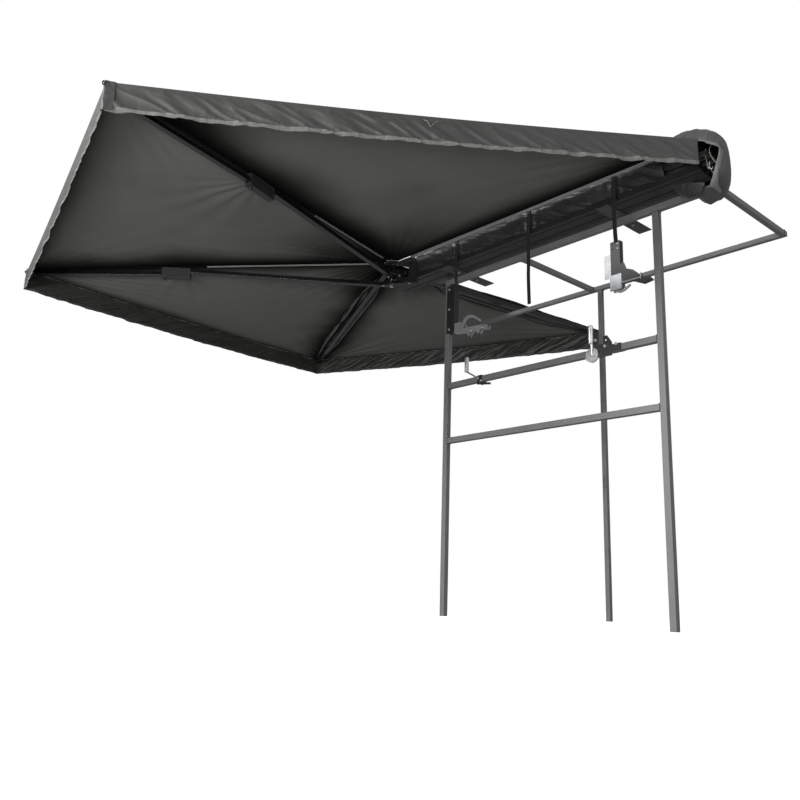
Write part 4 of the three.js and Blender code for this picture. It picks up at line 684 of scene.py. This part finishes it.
def valance(number, first, second, columns=420, rows=30):
    """Valance with its hem: folds deepen towards its lower edge, and the cloth crumples on the way."""
    chord = ridge_points(second, 1.0) - ridge_points(first, 1.0)
    length, face = np.linalg.norm(chord), outward(chord)
    end = VALANCE_END / length
    u, v = np.meshgrid(np.linspace(0, 1, columns), np.linspace(0, 1, rows))
    share = end + u * (1 - 2 * end)
    points = canopy_points(first, second, share, np.ones_like(share))
    points[..., 2] -= CLOTH / 2 + CLEAR + v * VALANCE_DROP
    fold = np.sqrt(np.sin(np.pi * share)) * np.sin(2 * np.pi * VALANCE_FOLDS * share)
    run = share * length
    slant = run + 0.35 * v * VALANCE_DROP * 6 / 1.6
    inner = number >= 3
    broad, narrow, look, hem_look, facing = ((0.017, 0.022, "canvas_in", "canvas_out", -1) if inner else
                                             (0.012, 0.024, "canvas_out", "hem", 1))
    soft = broad * noise_field(slant * 5.5, v * 0.9, 2.0 * number, 3) * (0.25 + 0.75 * v)
    sharp = np.abs(noise_field(slant * 7.5 + 0.5 * v, v * 0.8, 8.0 * number + 5, 2))
    soft = soft + narrow * (0.35 - np.sqrt(sharp)) * (0.3 + 0.7 * v)
    small = 0.0036 * noise_field(slant * 17, v * 1.6, 4.0 * number + 1, 3) * (0.3 + 0.7 * v)
    low = np.clip((v - 0.45) / 0.55, 0, 1)
    rising = 0.0030 * noise_field(run * 38, v * 1.2, 6.0 * number + 2, 2) * low
    window = np.clip(np.minimum(share, 1 - share) * length / 0.06, 0, 1)
    offset = (0.55 * VALANCE_FOLD * v * fold + soft + small + rising) * window * np.clip(v / 0.15, 0, 1)
    if number == 2:
        offset *= 0.4
    points = points + face * offset[..., None]
    obj = cloth(f"valance_cloth_{number}", points, VALANCE_THICKNESS, look, second["name"],
                replaces=[f"valance_{number}"])
    fold_away(obj)
    hem, run, v = points[-HEM_ROWS:], run[-HEM_ROWS:], v[-HEM_ROWS:]
    pucker = 0.0016 * np.sin(2 * np.pi * run / 0.021 + 3 * noise_field(run * 9, v, 5.5, 2))
    outer = hem + face * (0.0016 + pucker * 0.6)[..., None] * facing
    strip = cloth(f"valance_hem_{number}", outer, 0.0016, hem_look, second["name"])
    fold_away(strip)
    HEM_LINES.append((number, second, outer[1] + face * (facing * 0.0013)))


def ridge_drape(number, start, end, width, folds, lean=0.0):
    """Slack cloth gathered in long folds under a ridge."""
    ridge = RIDGES[number]
    share = np.linspace(start, end, 170)[None]
    w = np.linspace(-1, 1, 40)[:, None]
    points = np.repeat(ridge_points(ridge, share[0])[None], len(w), axis=0)
    taper = np.clip((share - start) / 0.12, 0, 1) * (0.25 + 0.75 * np.clip((end - share) / 0.25, 0, 1))
    wander = noise_field(share * 5 + 0 * w, w * 0.7 + 0 * share, 31.0 + number, 3)
    across = (w + lean + 0.22 * wander) * width / 2 * (0.35 + 0.65 * taper)
    points += ridge_side(ridge) * across[..., None]
    crease = np.abs(np.sin(math.pi * folds * (w * 0.5 + 0.5) + 1.6 * wander))
    points[..., 2] -= 0.0035 + EDGE_SAG * 0.15 + (0.006 + 0.024 * crease) * taper * (1 - w ** 6)
    # Painted shade: the drape is dark nearly all over, lightest where its folds hang lowest.
    shade = np.clip(0.95 - 0.75 * crease ** 2 + 0.2 * wander, 0, 1)
    obj = cloth(f"ridge_drape_{number}", points, VALANCE_THICKNESS, "canvas_under", ridge["name"],
                shade=shade, normals=np.broadcast_to(UP, points.shape))
    fold_away(obj)


# Along the front valance from its middle, out from it and down, in metres
TIE_LOOP = [(-0.055, 0.004, -0.006), (-0.030, 0.016, 0.006), (-0.008, 0.022, 0.026), (0.004, 0.023, 0.040),
            (0.012, 0.022, 0.034), (0.022, 0.017, 0.012), (0.040, 0.006, -0.004)]


def tie_loop():
    """Thin cord loop that hangs over the front valance near its middle."""
    first, second = RIDGES[:2]
    face = outward(ridge_points(second, 1.0) - ridge_points(first, 1.0))
    route = []
    for along, out, down in TIE_LOOP:
        point = canopy_points(first, second, np.array([[0.487 + along / 3.06]]), np.array([[1.0]]))[0, 0]
        route.append(point + face * out - np.array([0, 0, down + 0.028]))
    obj = sweep("valance_tie", spline(route, 8), round_section(0.0018, 7), face, "cord", second["name"])
    fold_away(obj)


def corner_wrap(number):
    """Doubled cloth round a corner of the canopy, from one valance's end to the next one's start."""
    ridge = RIDGES[number]
    tip = ridge_points(ridge, 1.0)
    outs = [outward(tip - ridge_points(RIDGES[number - 1], 1.0)),
            outward(ridge_points(RIDGES[number + 1], 1.0) - tip)]
    ways = [np.array([out[1], -out[0], 0]) for out in outs]
    bisector = (outs[0] + outs[1]) / np.linalg.norm(outs[0] + outs[1])
    path = spline([tip - ways[0] * 0.046 + outs[0] * 0.0022, tip - ways[0] * 0.024 + outs[0] * 0.0045,
                   tip + bisector * 0.0075, tip + ways[1] * 0.024 + outs[1] * 0.0045,
                   tip + ways[1] * 0.046 + outs[1] * 0.0022], 10)
    v = np.linspace(0, 1, 26)[:, None]
    run = np.linspace(0, 1, len(path))[None]
    points = np.repeat(path[None], len(v), axis=0)
    points[..., 2] += 0.004 - v * (VALANCE_DROP * (1.0 + 0.03 * np.cos(np.pi * (run - 0.5) * 2)))
    away = points - (tip - bisector * 0.1)
    away[..., 2] = 0
    away /= np.linalg.norm(away, axis=2, keepdims=True)
    bulge = 0.0025 * noise_field(run * 6 + 0 * v, v * 5 + 0 * run, 12.0 + number, 3) * np.sin(np.pi * run)
    points += away * bulge[..., None]
    obj = cloth(f"corner_wrap_{number}", points, VALANCE_THICKNESS,
                "canvas_out" if number < 3 else "canvas_in", ridge["name"])
    turns = np.linspace(0, 2 * math.pi * 2.25, 60)
    radius = 0.0085 + 0.0018 * np.sin(turns * 1.5)
    loop = (tip + bisector * 0.010 + np.array([0, 0, -0.012])
            + np.outer(radius * np.cos(turns), np.cross(bisector, UP)) + np.outer(radius * np.sin(turns), UP)
            + np.outer(0.0038 * turns / turns[-1] + 0.001, bisector))
    sweep(f"corner_knot_{number}", loop, round_section(0.0019, 7), bisector, "webbing", ridge["name"])


def ridge_tape(number, end, width=0.010):
    """Seam binding under a ridge, standing on edge."""
    ridge = RIDGES[number]
    path = ridge_points(ridge, np.linspace(0.03, end, 90))
    path[:, 2] -= CLOTH + width / 2 + 0.0012
    sweep(f"ridge_tape_{number}", path, flat_section(0.0022, width), ridge_side(ridge), "tape",
          ridge["name"])


def make_canopy():
    for number in (1, 2, 3, 4):
        canopy_panel(number, RIDGES[number - 1], RIDGES[number])
        valance(number, RIDGES[number - 1], RIDGES[number])
    for number in (1, 2, 3):
        corner_wrap(number)
    tie_loop()
    ridge_drape(3, 0.10, 0.97, 0.15, 2.5)
    ridge_drape(4, 0.12, 0.97, 0.24, 4.0, lean=0.85)
    ridge_tape(1, 0.36)
    ridge_tape(2, 0.50)


# Bag: profiles in shares of its depth and height

FLAP = [(0.125, 0.02), (0.06, 0.12), (0.015, 0.3), (0, 0.5), (0.005, 0.585)]
COVER = [(0.012, 0.6), (0.05, 0.74), (0.14, 0.87), (0.28, 0.965), (0.46, 1), (0.66, 0.98), (0.84, 0.88),
         (0.95, 0.7), (1, 0.48), (0.985, 0.25), (0.93, 0.1), (0.84, 0.035), (0.6, 0.03)]


def shares_to_points(shares):
    return np.array([(BAG_FACE + y * BAG_DEPTH, BACKBONE_BASE + z * BAG_HEIGHT) for y, z in shares])


def profile_grid(shares, columns, steps):
    """Grid of a profile along x, its outward normals, its places along x and its shares of the way down."""
    profile = spline(shares_to_points(shares), steps)
    ways = directions(profile)
    run, v = np.meshgrid(np.linspace(BAG_LEFT, BAG_RIGHT, columns), np.linspace(0, 1, len(profile)))
    points, normals = np.zeros((2, *run.shape, 3))
    points[..., 0] = run
    points[..., 1:] = profile[:, None]
    normals[..., 1:] = np.stack([-ways[:, 1], ways[:, 0]], 1)[:, None]
    return points, normals, run, v


def make_flap():
    points, normals, run, v = profile_grid(FLAP, 520, 7)
    places = [place for place, _ in STRAPS.values()]
    pulled = sum(np.exp(-((run - place) / 0.05) ** 2) for place in places)
    slant = run + 0.30 * v
    folds = (0.012 * noise_field(slant * 6.0, v * 1.3, 1.7, 3)
             + 0.005 * noise_field(slant * 22, v * 2.0, 3.9, 3))
    folds += 0.010 * (0.3 - np.sqrt(np.abs(noise_field(slant * 8.0, v * 1.1, 6.6, 2))))
    gather = sum(0.006 * np.sin((run - place) / 0.012) * np.exp(-((run - place) / 0.07) ** 2)
                 for place in places)
    depth = np.clip(folds + gather - 0.009 - 0.004 * pulled, -0.017, -0.0008)
    points = points + normals * (depth * np.sin(np.pi * v) ** 0.4)[..., None]
    obj = cloth("bag_flap_cloth", points, FLAP_THICKNESS, "bag_flap", "stand", replaces=["bag_flap"])


def make_cover():
    points, normals, run, v = profile_grid(COVER, 420, 6)
    folds = (0.008 * noise_field(run * 2.6, v * 5, 8.1, 3)
             + 0.004 * noise_field(run * 9 + 2 * v, v * 9, 2.2, 3))
    window = np.clip(np.minimum(v, 1 - v) / 0.06, 0, 1)
    points = points + normals * ((folds - 0.005) * window)[..., None]
    obj = cloth("bag_cover_cloth", points, 0.0018, "bag_cloth", "stand", replaces=["bag_cover"])


# Hood over the bag's open right end, as the CAD has it: share of its length, then the places of its
# front, back, lower and upper edge as shares of the bag's depth and height
HOOD_SECTIONS = np.array([
    (0, -0.01, 1.01, 0.08, 1.02), (0.17, -0.02, 1.02, 0.08, 1.13), (0.3, -0.03, 1.03, 0.06, 1.18),
    (0.36, -0.03, 1.03, -0.1, 1.185), (0.42, -0.03, 1.03, -0.5, 1.18), (0.53, -0.03, 1.02, -0.58, 1.15),
    (0.66, -0.03, 0.98, -0.54, 1.075), (0.77, -0.03, 0.86, -0.48, 0.965), (0.87, -0.02, 0.68, -0.42, 0.8),
    (0.94, 0, 0.52, -0.36, 0.62), (0.98, 0.05, 0.42, -0.26, 0.46), (1, 0.12, 0.34, -0.12, 0.3)])
MOUTH = [(-0.05, 0.99), (0.17, 0.955), (0.27, 0.9), (0.62, 0.64), (0.745, 0.55), (0.92, 0.4), (0.965, 0.32),
         (0.955, 0.12), (0.92, -0.06), (0.84, -0.26), (0.74, -0.4), (0.68, -0.4), (0.54, -0.36),
         (0.4, -0.45), (0.3, -0.9), (-0.05, -0.9)]
FRONT_HALF = np.linspace(math.pi / 2, 3 * math.pi / 2, 200)


def hood_ring(share, angles, inset=0.0):
    """Points of one section of the hood, drawn in by an inset."""
    front, back, low, high = (np.interp(share, HOOD_SECTIONS[:, 0], HOOD_SECTIONS[:, i])
                              for i in range(1, 5))
    (y0, z0), (y1, z1) = shares_to_points([(front, low), (back, high)])
    c, n = np.cos(angles), np.sin(angles)
    size = (np.abs(c) ** HOOD_SQUARENESS + np.abs(n) ** HOOD_SQUARENESS) ** (-1 / HOOD_SQUARENESS)
    y = (y0 + y1) / 2 + ((y1 - y0) / 2 - inset) * c * size
    z = (z0 + z1) / 2 + ((z1 - z0) / 2 - inset) * n * size
    return np.stack([np.full_like(y, BAG_RIGHT + CLEAR + share * (HOOD_LENGTH - inset)), y, z], 1)


def hood_wrinkle(points):
    """How far the hood's cloth is pushed in: folds that hang from its top and pull to its lower corner."""
    x, y, z = points.T
    slant = x * 1.1 - 0.55 * z
    broad = noise_field(slant * 9, y * 4, 3.3, 3)
    fine = noise_field(slant * 26, y * 12 + z * 5, 9.1, 3)
    pull = np.sin((slant * 62) + 2.5 * broad) * np.clip((2.62 - z) / 0.3, 0, 1)
    ridge = 0.35 - np.sqrt(np.abs(noise_field(slant * 7, y * 3 + z, 5.7, 2)))
    return 0.010 - 0.0085 * broad - 0.003 * fine - 0.003 * pull - 0.014 * ridge


def hood_body(name, inset, look, start=0.0, around=200, stations=74):
    """Closed body of the hood with its folds."""
    angles = np.linspace(0, 2 * math.pi, around, endpoint=False)
    shares = 1 - np.linspace(1, 0, stations) ** 1.5
    rings = np.array([hood_ring(share, angles, inset) for share in shares])
    rings[0, :, 0] += start
    centres = rings.mean(axis=1, keepdims=True)
    out = rings - centres
    out /= np.linalg.norm(out, axis=2, keepdims=True)
    pushed = hood_wrinkle(rings.reshape(-1, 3)).reshape(stations, around)
    fade = np.clip(np.minimum(shares / 0.06, (1 - shares) / 0.02 + 0.3), 0, 1)
    rings = rings - out * (pushed * fade[:, None])[..., None]
    points = np.concatenate([rings.reshape(-1, 3), centres[0], centres[-1]])
    faces = []
    last = (stations - 1) * around
    for i in range(around):
        k = (i + 1) % around
        faces += [(j + i, j + k, j + around + k, j + around + i) for j in range(0, last, around)]
        faces += [(len(points) - 2, k, i), (len(points) - 1, last + i, last + k)]
    uv = np.stack([points[:, 0] + 0.4 * points[:, 1], points[:, 2] + 0.6 * points[:, 1]], 1)
    return loose_mesh(name, points, faces, look, uv)


def prism(name, outline, low, high):
    """Cutter: prism of an outline in x and z between two places along y."""
    count = len(outline)
    points = [(x, y, z) for y in (low, high) for x, z in outline]
    sides = [(i, count + i, count + (i + 1) % count, (i + 1) % count) for i in range(count)]
    return loose_mesh(name, points, [range(count), range(2 * count - 1, count - 1, -1), *sides], "lining")


def box(name, low, high):
    (x0, y0, z0), (x1, y1, z1) = low, high
    return prism(name, [(x0, z0), (x1, z0), (x1, z1), (x0, z1)], y0, y1)


def evaluated(obj):
    """New mesh of what an object's modifiers make of it."""
    graph = bpy.context.evaluated_depsgraph_get()
    return bpy.data.meshes.new_from_object(obj.evaluated_get(graph))


def cut(obj, cutters):
    """Takes the cutters out of an object and leaves one plain mesh."""
    for cutter in cutters:
        step = obj.modifiers.new(cutter.name, "BOOLEAN")
        step.operation, step.solver, step.object = "DIFFERENCE", "MANIFOLD", cutter
        step.material_mode = "TRANSFER"
    mesh = evaluated(obj)
    obj.modifiers.clear()
    obj.data = mesh
    for cutter in cutters:
        bpy.data.objects.remove(cutter)
    mesh.set_sharp_from_angle(angle=math.radians(50))


def on_hood(share, level, pushed):
    """Point on the hood's front at a share of its length and a level in shares of the bag's height."""
    ring = hood_ring(share, FRONT_HALF)
    ring[:, 1] += hood_wrinkle(ring) * pushed
    z = BACKBONE_BASE + level * BAG_HEIGHT
    return ring[0, 0], np.interp(-z, -ring[:, 2], ring[:, 1]), z


def make_bag_end():
    """Hood: a loose shell with its mouth in front, cleared round the backbone, rail and cross member."""
    hood = hood_body("bag_end_cloth", 0.0, "bag_cloth")
    outline = [(BAG_RIGHT + x * HOOD_LENGTH, BACKBONE_BASE + z * BAG_HEIGHT) for x, z in MOUTH]
    cut(hood, [hood_body("hood_hollow", BAG_WALL, "lining", start=-0.02),
               prism("mouth_cutter", outline, BAG_FACE - 0.03, BAG_FACE + 0.135),
               box("backbone_room", (1.89, -0.212, 2.442), (2.114, -0.048, BACKBONE_BASE + 0.040 + 0.003)),
               box("rail_room", (1.89, -0.040, 2.10), (2.128, 0.30, 2.4447))])
    settle(hood, "stand")
    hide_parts("bag_end")
    edge = np.array([on_hood(share, level, 1) for share, level in spline(MOUTH[1:12], 9)])
    sweep("bag_end_piping", edge, round_section(0.0032, 8), (0, 1, 0.3), "hem", "stand")


def make_hood_band():
    """Turned-back band of cloth down the right edge of the hood's mouth."""
    points = []
    for lean in np.linspace(0, 1, 12):
        row = []
        for share, level in spline(MOUTH[4:11], 9):
            place = share + lean * 0.14 * (1 - share) ** 0.25 * 0.5
            x, y, z = on_hood(min(place, 0.995), level - lean * 0.10, 0.4)
            row.append((x, y - 0.006 - 0.006 * math.sin(math.pi * lean), z))
        points.append(row)
    points = np.array(points)
    obj = cloth("bag_end_band", points, 0.0016, "hood_band", "stand")


# Loose cloth that hangs under the bag's open end: along its fixed edge, then its free one
LOOSE_CORNER = [[(1.950, -0.212, 2.402), (2.000, -0.226, 2.392), (2.060, -0.230, 2.376),
                 (2.150, -0.230, 2.335)],
                [(1.945, -0.110, 2.380), (1.990, -0.140, 2.348), (2.040, -0.170, 2.318),
                 (2.104, -0.205, 2.296)]]


def make_loose_corner():
    """Loose corner of cloth between the bag's front and the hood's lower edge."""
    upper, lower = (spline(row, 14) for row in LOOSE_CORNER)
    v = np.linspace(0, 1, 34)[:, None]
    run = np.linspace(0, 1, len(upper))[None]
    points = upper[None] * (1 - v[..., None]) + lower[None] * v[..., None]
    sag = 0.018 * np.sin(np.pi * v) * np.sin(np.pi * run)
    points[..., 2] -= sag - 0.006 * noise_field(run * 5 + v, v * 3 + 0 * run, 4.4, 3)
    obj = cloth("bag_loose_corner", points, FLAP_THICKNESS, "bag_flap", "stand")


TIES = [[(2.165, -0.150, 2.600), (2.158, -0.172, 2.560), (2.172, -0.180, 2.505), (2.205, -0.170, 2.440),
         (2.214, -0.150, 2.400)],
        [(2.120, -0.140, 2.590), (2.136, -0.178, 2.530), (2.148, -0.182, 2.470), (2.170, -0.160, 2.410)]]


def make_bag_contents():
    """Folded cloth, two pale tie cords and their hooks inside the hood."""
    u, v = np.meshgrid(np.linspace(0, 1, 120), np.linspace(0, 1, 90))
    x = 1.80 + 0.34 * u
    y = -0.185 + 0.20 * v
    folds = np.abs(np.sin(v * 11 + 0.8 * noise_field(x * 4, y * 5, 2.2, 2)))
    z = 2.525 + 0.075 * folds * (1 - 0.5 * u) + 0.02 * noise_field(x * 7, y * 9, 5.1, 3)
    heap = cloth("bag_folded_cloth", np.stack([x, y, z], 2), FLAP_THICKNESS, "canvas_in", "stand")
    for number, route in enumerate(TIES, 1):
        sweep(f"hood_tie_{number}", spline(route, 8), round_section(0.0026, 8), (1, 0, 0), "cord", "stand")
    for number, (x, z) in enumerate(((2.152, 2.455), (2.166, 2.445)), 1):
        hook = [(x, -0.196, z + 0.030), (x, -0.197, z), (x + 0.004, -0.199, z - 0.018),
                (x + 0.013, -0.200, z - 0.020), (x + 0.016, -0.199, z - 0.008)]
        sweep(f"hood_hook_{number}", spline(hook, 6), round_section(0.0018, 8), (0, 1, 0), "bright", "stand")


def make_bag():
    make_flap()
    make_cover()
    make_bag_end()
    make_hood_band()
    make_loose_corner()
    make_bag_contents()


def make_straps():
    for name, (x, route) in STRAPS.items():
        route = np.array(route, float) / 1000
        y = BAG_FACE - STRAP_GAP - STRAP_THICKNESS / 2 + route[:, 0]
        path = spline(np.stack([np.full(len(route), x), y, BACKBONE_BASE + route[:, 1]], 1), 6)
        obj = sweep(f"{name}_web", path, flat_section(STRAP_WIDTH, STRAP_THICKNESS), (1, 0, 0), "webbing",
                    "stand")
        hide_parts(name)


# What repeats: bolt heads, stitches and weld ripples, grown by Geometry Nodes

def new_tree(name, **inputs):
    """Geometry tree with its named inputs: the geometry first, the finish last."""
    tree = bpy.data.node_groups.new(name, "GeometryNodeTree")
    kinds = {label: "Int" if isinstance(value, int) else "Float" for label, value in inputs.items()}
    for label, kind in {"Geometry": "Geometry", **kinds, "Finish": "Material"}.items():
        socket = tree.interface.new_socket(name=label.replace("_", " "), in_out="INPUT",
                                           socket_type=f"NodeSocket{kind}")
        if label in inputs:
            socket.default_value = inputs[label]
    tree.interface.new_socket(name="Geometry", in_out="OUTPUT", socket_type="NodeSocketGeometry")
    return tree, tree.nodes.new("NodeGroupInput").outputs, tree.nodes.new("NodeGroupOutput")


def finish_tree(tree, start, end, **spread):
    """Sets a shape on every point, makes it real and gives it its finish."""
    placed = add(tree, "GeometryNodeInstanceOnPoints", **spread).outputs[0]
    real = add(tree, "GeometryNodeRealizeInstances", Geometry=placed).outputs[0]
    paint = add(tree, "GeometryNodeSetMaterial", Geometry=real, Material=start["Finish"])
    plug(tree, end.inputs[0], paint.outputs[0])
    return tree


def turned(tree, axis, vector):
    return add(tree, "FunctionNodeAlignRotationToVector", {"axis": axis}, Vector=vector).outputs[0]


def build_heads():
    """Heads on washers, standing on points along the direction named axis."""
    tree, start, end = new_tree("bolt_heads", Head_Radius=0.008, Head_Height=0.006, Washer_Radius=0.011,
                                Sides=6)
    height = start["Head Height"]
    head = add(tree, "GeometryNodeMeshCylinder", Vertices=start["Sides"], Radius=start["Head Radius"],
               Depth=height)
    washer = add(tree, "GeometryNodeMeshCylinder", Vertices=20, Radius=start["Washer Radius"],
                 Depth=times(tree, height, 0.3))
    lift = add(tree, "ShaderNodeCombineXYZ", Z=times(tree, height, 0.62))
    moved = add(tree, "GeometryNodeTransform", Geometry=head.outputs[0], Translation=lift.outputs[0])
    both = tree.nodes.new("GeometryNodeJoinGeometry")
    for piece in (moved, washer):
        plug(tree, both.inputs[0], piece.outputs[0])
    axis = add(tree, "GeometryNodeInputNamedAttribute", {"data_type": "FLOAT_VECTOR"}, Name="axis")
    return finish_tree(tree, start, end, Points=start["Geometry"], Instance=both.outputs[0],
                       Rotation=turned(tree, "Z", axis.outputs["Attribute"]))


def build_row(name, kind, **settings):
    """Small shapes set along lines: flat stitches, or the ripples of a weld."""
    tree, start, end = new_tree(name, Pitch=0.008, Length=0.005, Width=0.0012, Height=0.0008)
    line = add(tree, "GeometryNodeMeshToCurve", Mesh=start["Geometry"])
    spaced = add(tree, "GeometryNodeResampleCurve", {"mode": "LENGTH"}, Curve=line.outputs[0],
                 Length=start["Pitch"])
    way = tree.nodes.new("GeometryNodeInputTangent")
    piece = add(tree, kind, **settings)
    size = add(tree, "ShaderNodeCombineXYZ", X=start["Length"], Y=start["Width"], Z=start["Height"])
    return finish_tree(tree, start, end, Points=spaced.outputs[0], Instance=piece.outputs[0],
                       Rotation=turned(tree, "X", way.outputs[0]), Scale=size.outputs[0])


HEADS = build_heads()
STITCHES = build_row("stitch_rows", "GeometryNodeMeshCube")
RIPPLES = build_row("weld_ripples", "GeometryNodeMeshIcoSphere", Radius=0.5, Subdivisions=1)


def grown(name, tree, mesh, look, body, slot, **values):
    """Piece grown by a tree from points or lines, its inputs set before the first look at it."""
    source = link(name + "_start", mesh)
    step = source.modifiers.new("grown", "NODES")
    step.node_group = tree
    sockets = {item.name: item.identifier for item in tree.interface.items_tree
               if item.item_type == "SOCKET" and item.in_out == "INPUT"}
    for label, value in {"Finish": LOOKS[look], **values}.items():
        step[sockets[label.replace("_", " ")]] = value
    result = evaluated(source)
    bpy.data.objects.remove(source)
    result.name = name
    return settle(link(name, result), body)


def line_mesh(name, lines):
    """Edges along several lines of points."""
    mesh = bpy.data.meshes.new(name)
    points, edges = [], []
    for line in lines:
        first = len(points)
        points += [tuple(p) for p in line]
        edges += [(i, i + 1) for i in range(first, len(points) - 1)]
    mesh.from_pydata(points, edges, [])
    return mesh


def node_box(name):
    obj = nodes[name]
    corners = np.array([obj.matrix_world @ Vector(c) for c in obj.bound_box])
    return corners.min(0), corners.max(0)


def on_surface(name, shares, way):
    """Where a line through shares of a node's box, going along way, first meets the node."""
    obj = nodes[name]
    low, high = node_box(name)
    start = low + np.array(shares) * (high - low)
    way = np.array(way, float)
    start = np.where(way > 0, low - 0.01, start)
    back = obj.matrix_world.inverted()
    hit, place, normal, _ = obj.ray_cast(back @ Vector(start), back.to_3x3() @ Vector(way))
    if not hit:
        return None
    facing = obj.matrix_world.to_3x3() @ normal
    return np.array(obj.matrix_world @ place), np.array(facing.normalized())


# Heads on the CAD nodes: body, node, direction looked along, places as shares of the node's box
AHEAD, ABOVE = (0, 1, 0), (0, 0, 1)
HEAD_PLACES = [
    ("stand", "end_housing", AHEAD, [(0.25, 0, 0.2), (0.75, 0, 0.2), (0.25, 0, 0.8), (0.75, 0, 0.8)]),
    ("stand", "hub_plate_lower", ABOVE, [(0.2, 0.3, 0), (0.2, 0.7, 0), (0.8, 0.3, 0), (0.8, 0.7, 0)]),
    ("stand", "hub_cap", ABOVE, [(0.25, 0.5, 0)]),
    ("stand", "mount_plate_left", ABOVE, [(0.5, 0.3, 0), (0.5, 0.7, 0)]),
    ("stand", "mount_plate_right", ABOVE, [(0.5, 0.3, 0), (0.5, 0.7, 0)]),
    ("stand", "channel_front", AHEAD, [(0.35, 0, 0.08), (0.35, 0, 0.5), (0.35, 0, 0.92)]),
    ("stand", "clamp_front_body", AHEAD, [(0.12, 0, 0.3), (0.5, 0, 0.3), (0.85, 0, 0.3), (0.3, 0, 0.6)]),
    ("stand", "clamp_rear_body", AHEAD, [(0.12, 0, 0.1), (0.3, 0, 0.1), (0.6, 0, 0.1)]),
    ("stand", "bracket_mid_plate", AHEAD, [(0.2, 0, 0.3), (0.2, 0, 0.7), (0.5, 0, 0.4), (0.85, 0, 0.4)]),
    ("stand", "crank_clamp_body", AHEAD, [(0.3, 0, 0.5), (0.7, 0, 0.5)]),
    *((arm["name"], f"{arm['name']}_knuckle", ABOVE, [(0.5, 0.5, 0)]) for arm in ARMS),
]


def make_heads():
    for body in dict.fromkeys(row[0] for row in HEAD_PLACES):
        found = [on_surface(node, shares, way) for at, node, way, places in HEAD_PLACES if at == body
                 for shares in places]
        found = [hit for hit in found if hit is not None]
        if not found:
            continue
        mesh = bpy.data.meshes.new(f"{body}_heads")
        mesh.from_pydata([tuple(p + 0.0008 * n) for p, n in found], [], [])
        axis = mesh.attributes.new("axis", "FLOAT_VECTOR", "POINT")
        axis.data.foreach_set("vector", np.array([n for _, n in found], np.float32).ravel())
        grown(f"{body}_bolt_heads", HEADS, mesh, "zinc", body, "zinc_steel", Head_Radius=0.0068,
              Head_Height=0.0055, Washer_Radius=0.0092, Sides=6)


def make_stitches():
    for number, ridge, line in HEM_LINES:
        mesh = line_mesh("hem_lines", [line, line - np.array([0, 0, 0.006])])
        obj = grown(f"valance_stitches_{number}", STITCHES, mesh, "thread", ridge["name"], "canvas",
                    Pitch=0.009, Length=0.0062, Width=0.0011, Height=0.0009)
        fold_away(obj)


def around_end(name, axis, high):
    """Line round one end of a straight member, just inside its end."""
    box_ends = node_box(name)
    others = [i for i in range(3) if i != axis]
    corners = []
    for sides in ((0, 0), (1, 0), (1, 1), (0, 1), (0, 0)):
        point = np.zeros(3)
        point[axis] = box_ends[high][axis] + (-0.0012 if high else 0.0012)
        point[others] = [box_ends[side][i] for side, i in zip(sides, others)]
        corners.append(point)
    return corners


def make_welds():
    ends = [(leg, 2, True) for leg in ("leg_front_left", "leg_front_right", "leg_rear")]
    ends += [(member, axis, high) for member, axis in (("rail_middle", 0), ("rail_lower", 0),
                                                       ("cross_member_mid", 1), ("cross_member_right", 1))
             for high in (False, True)]
    mesh = line_mesh("weld_lines", [around_end(*end) for end in ends])
    grown("stand_welds", RIPPLES, mesh, "weld", "stand", "stand_steel", Pitch=0.0045, Length=0.0085,
          Width=0.0075, Height=0.0075)


# Finishes of the CAD nodes, by how their names begin; the first that fits counts
NODE_LOOKS = {
    "stand_steel": ("leg_", "rail_", "cross_member"),
    # The mount plates take the darker copy of the stand's steel: painted shade.
    "shaded_plate_steel": ("mount_plate",),
    "extrusion": ("backbone",),
    "zinc": ("hub_pin", "clamp_front_", "clamp_rear_"),
    "bright": ("bracket_mid_handle", "crank_handle"),
    "black_metal": ("hub_plate_", "hub_post", "channel_", "bracket_mid_plate", "crank_clamp_body"),
    "plastic": ("end_housing", "hub_cap", "arm_1_tip", "arm_2_tip", "arm_3_tip", "arm_4_tip",
                "arm_1_sleeve", "arm_2_sleeve", "arm_1_lock", "arm_2_lock"),
    "arm": ("arm_",),
}


def dress_frame():
    for name, obj in nodes.items():
        look = next((look for look, starts in NODE_LOOKS.items() if name.startswith(starts)), None)
        if look:
            obj.material_slots[0].material = LOOKS[look]


make_camera()
make_straps()
make_studio()
make_canopy()
make_bag()
make_heads()
make_stitches()
make_welds()
dress_frame()
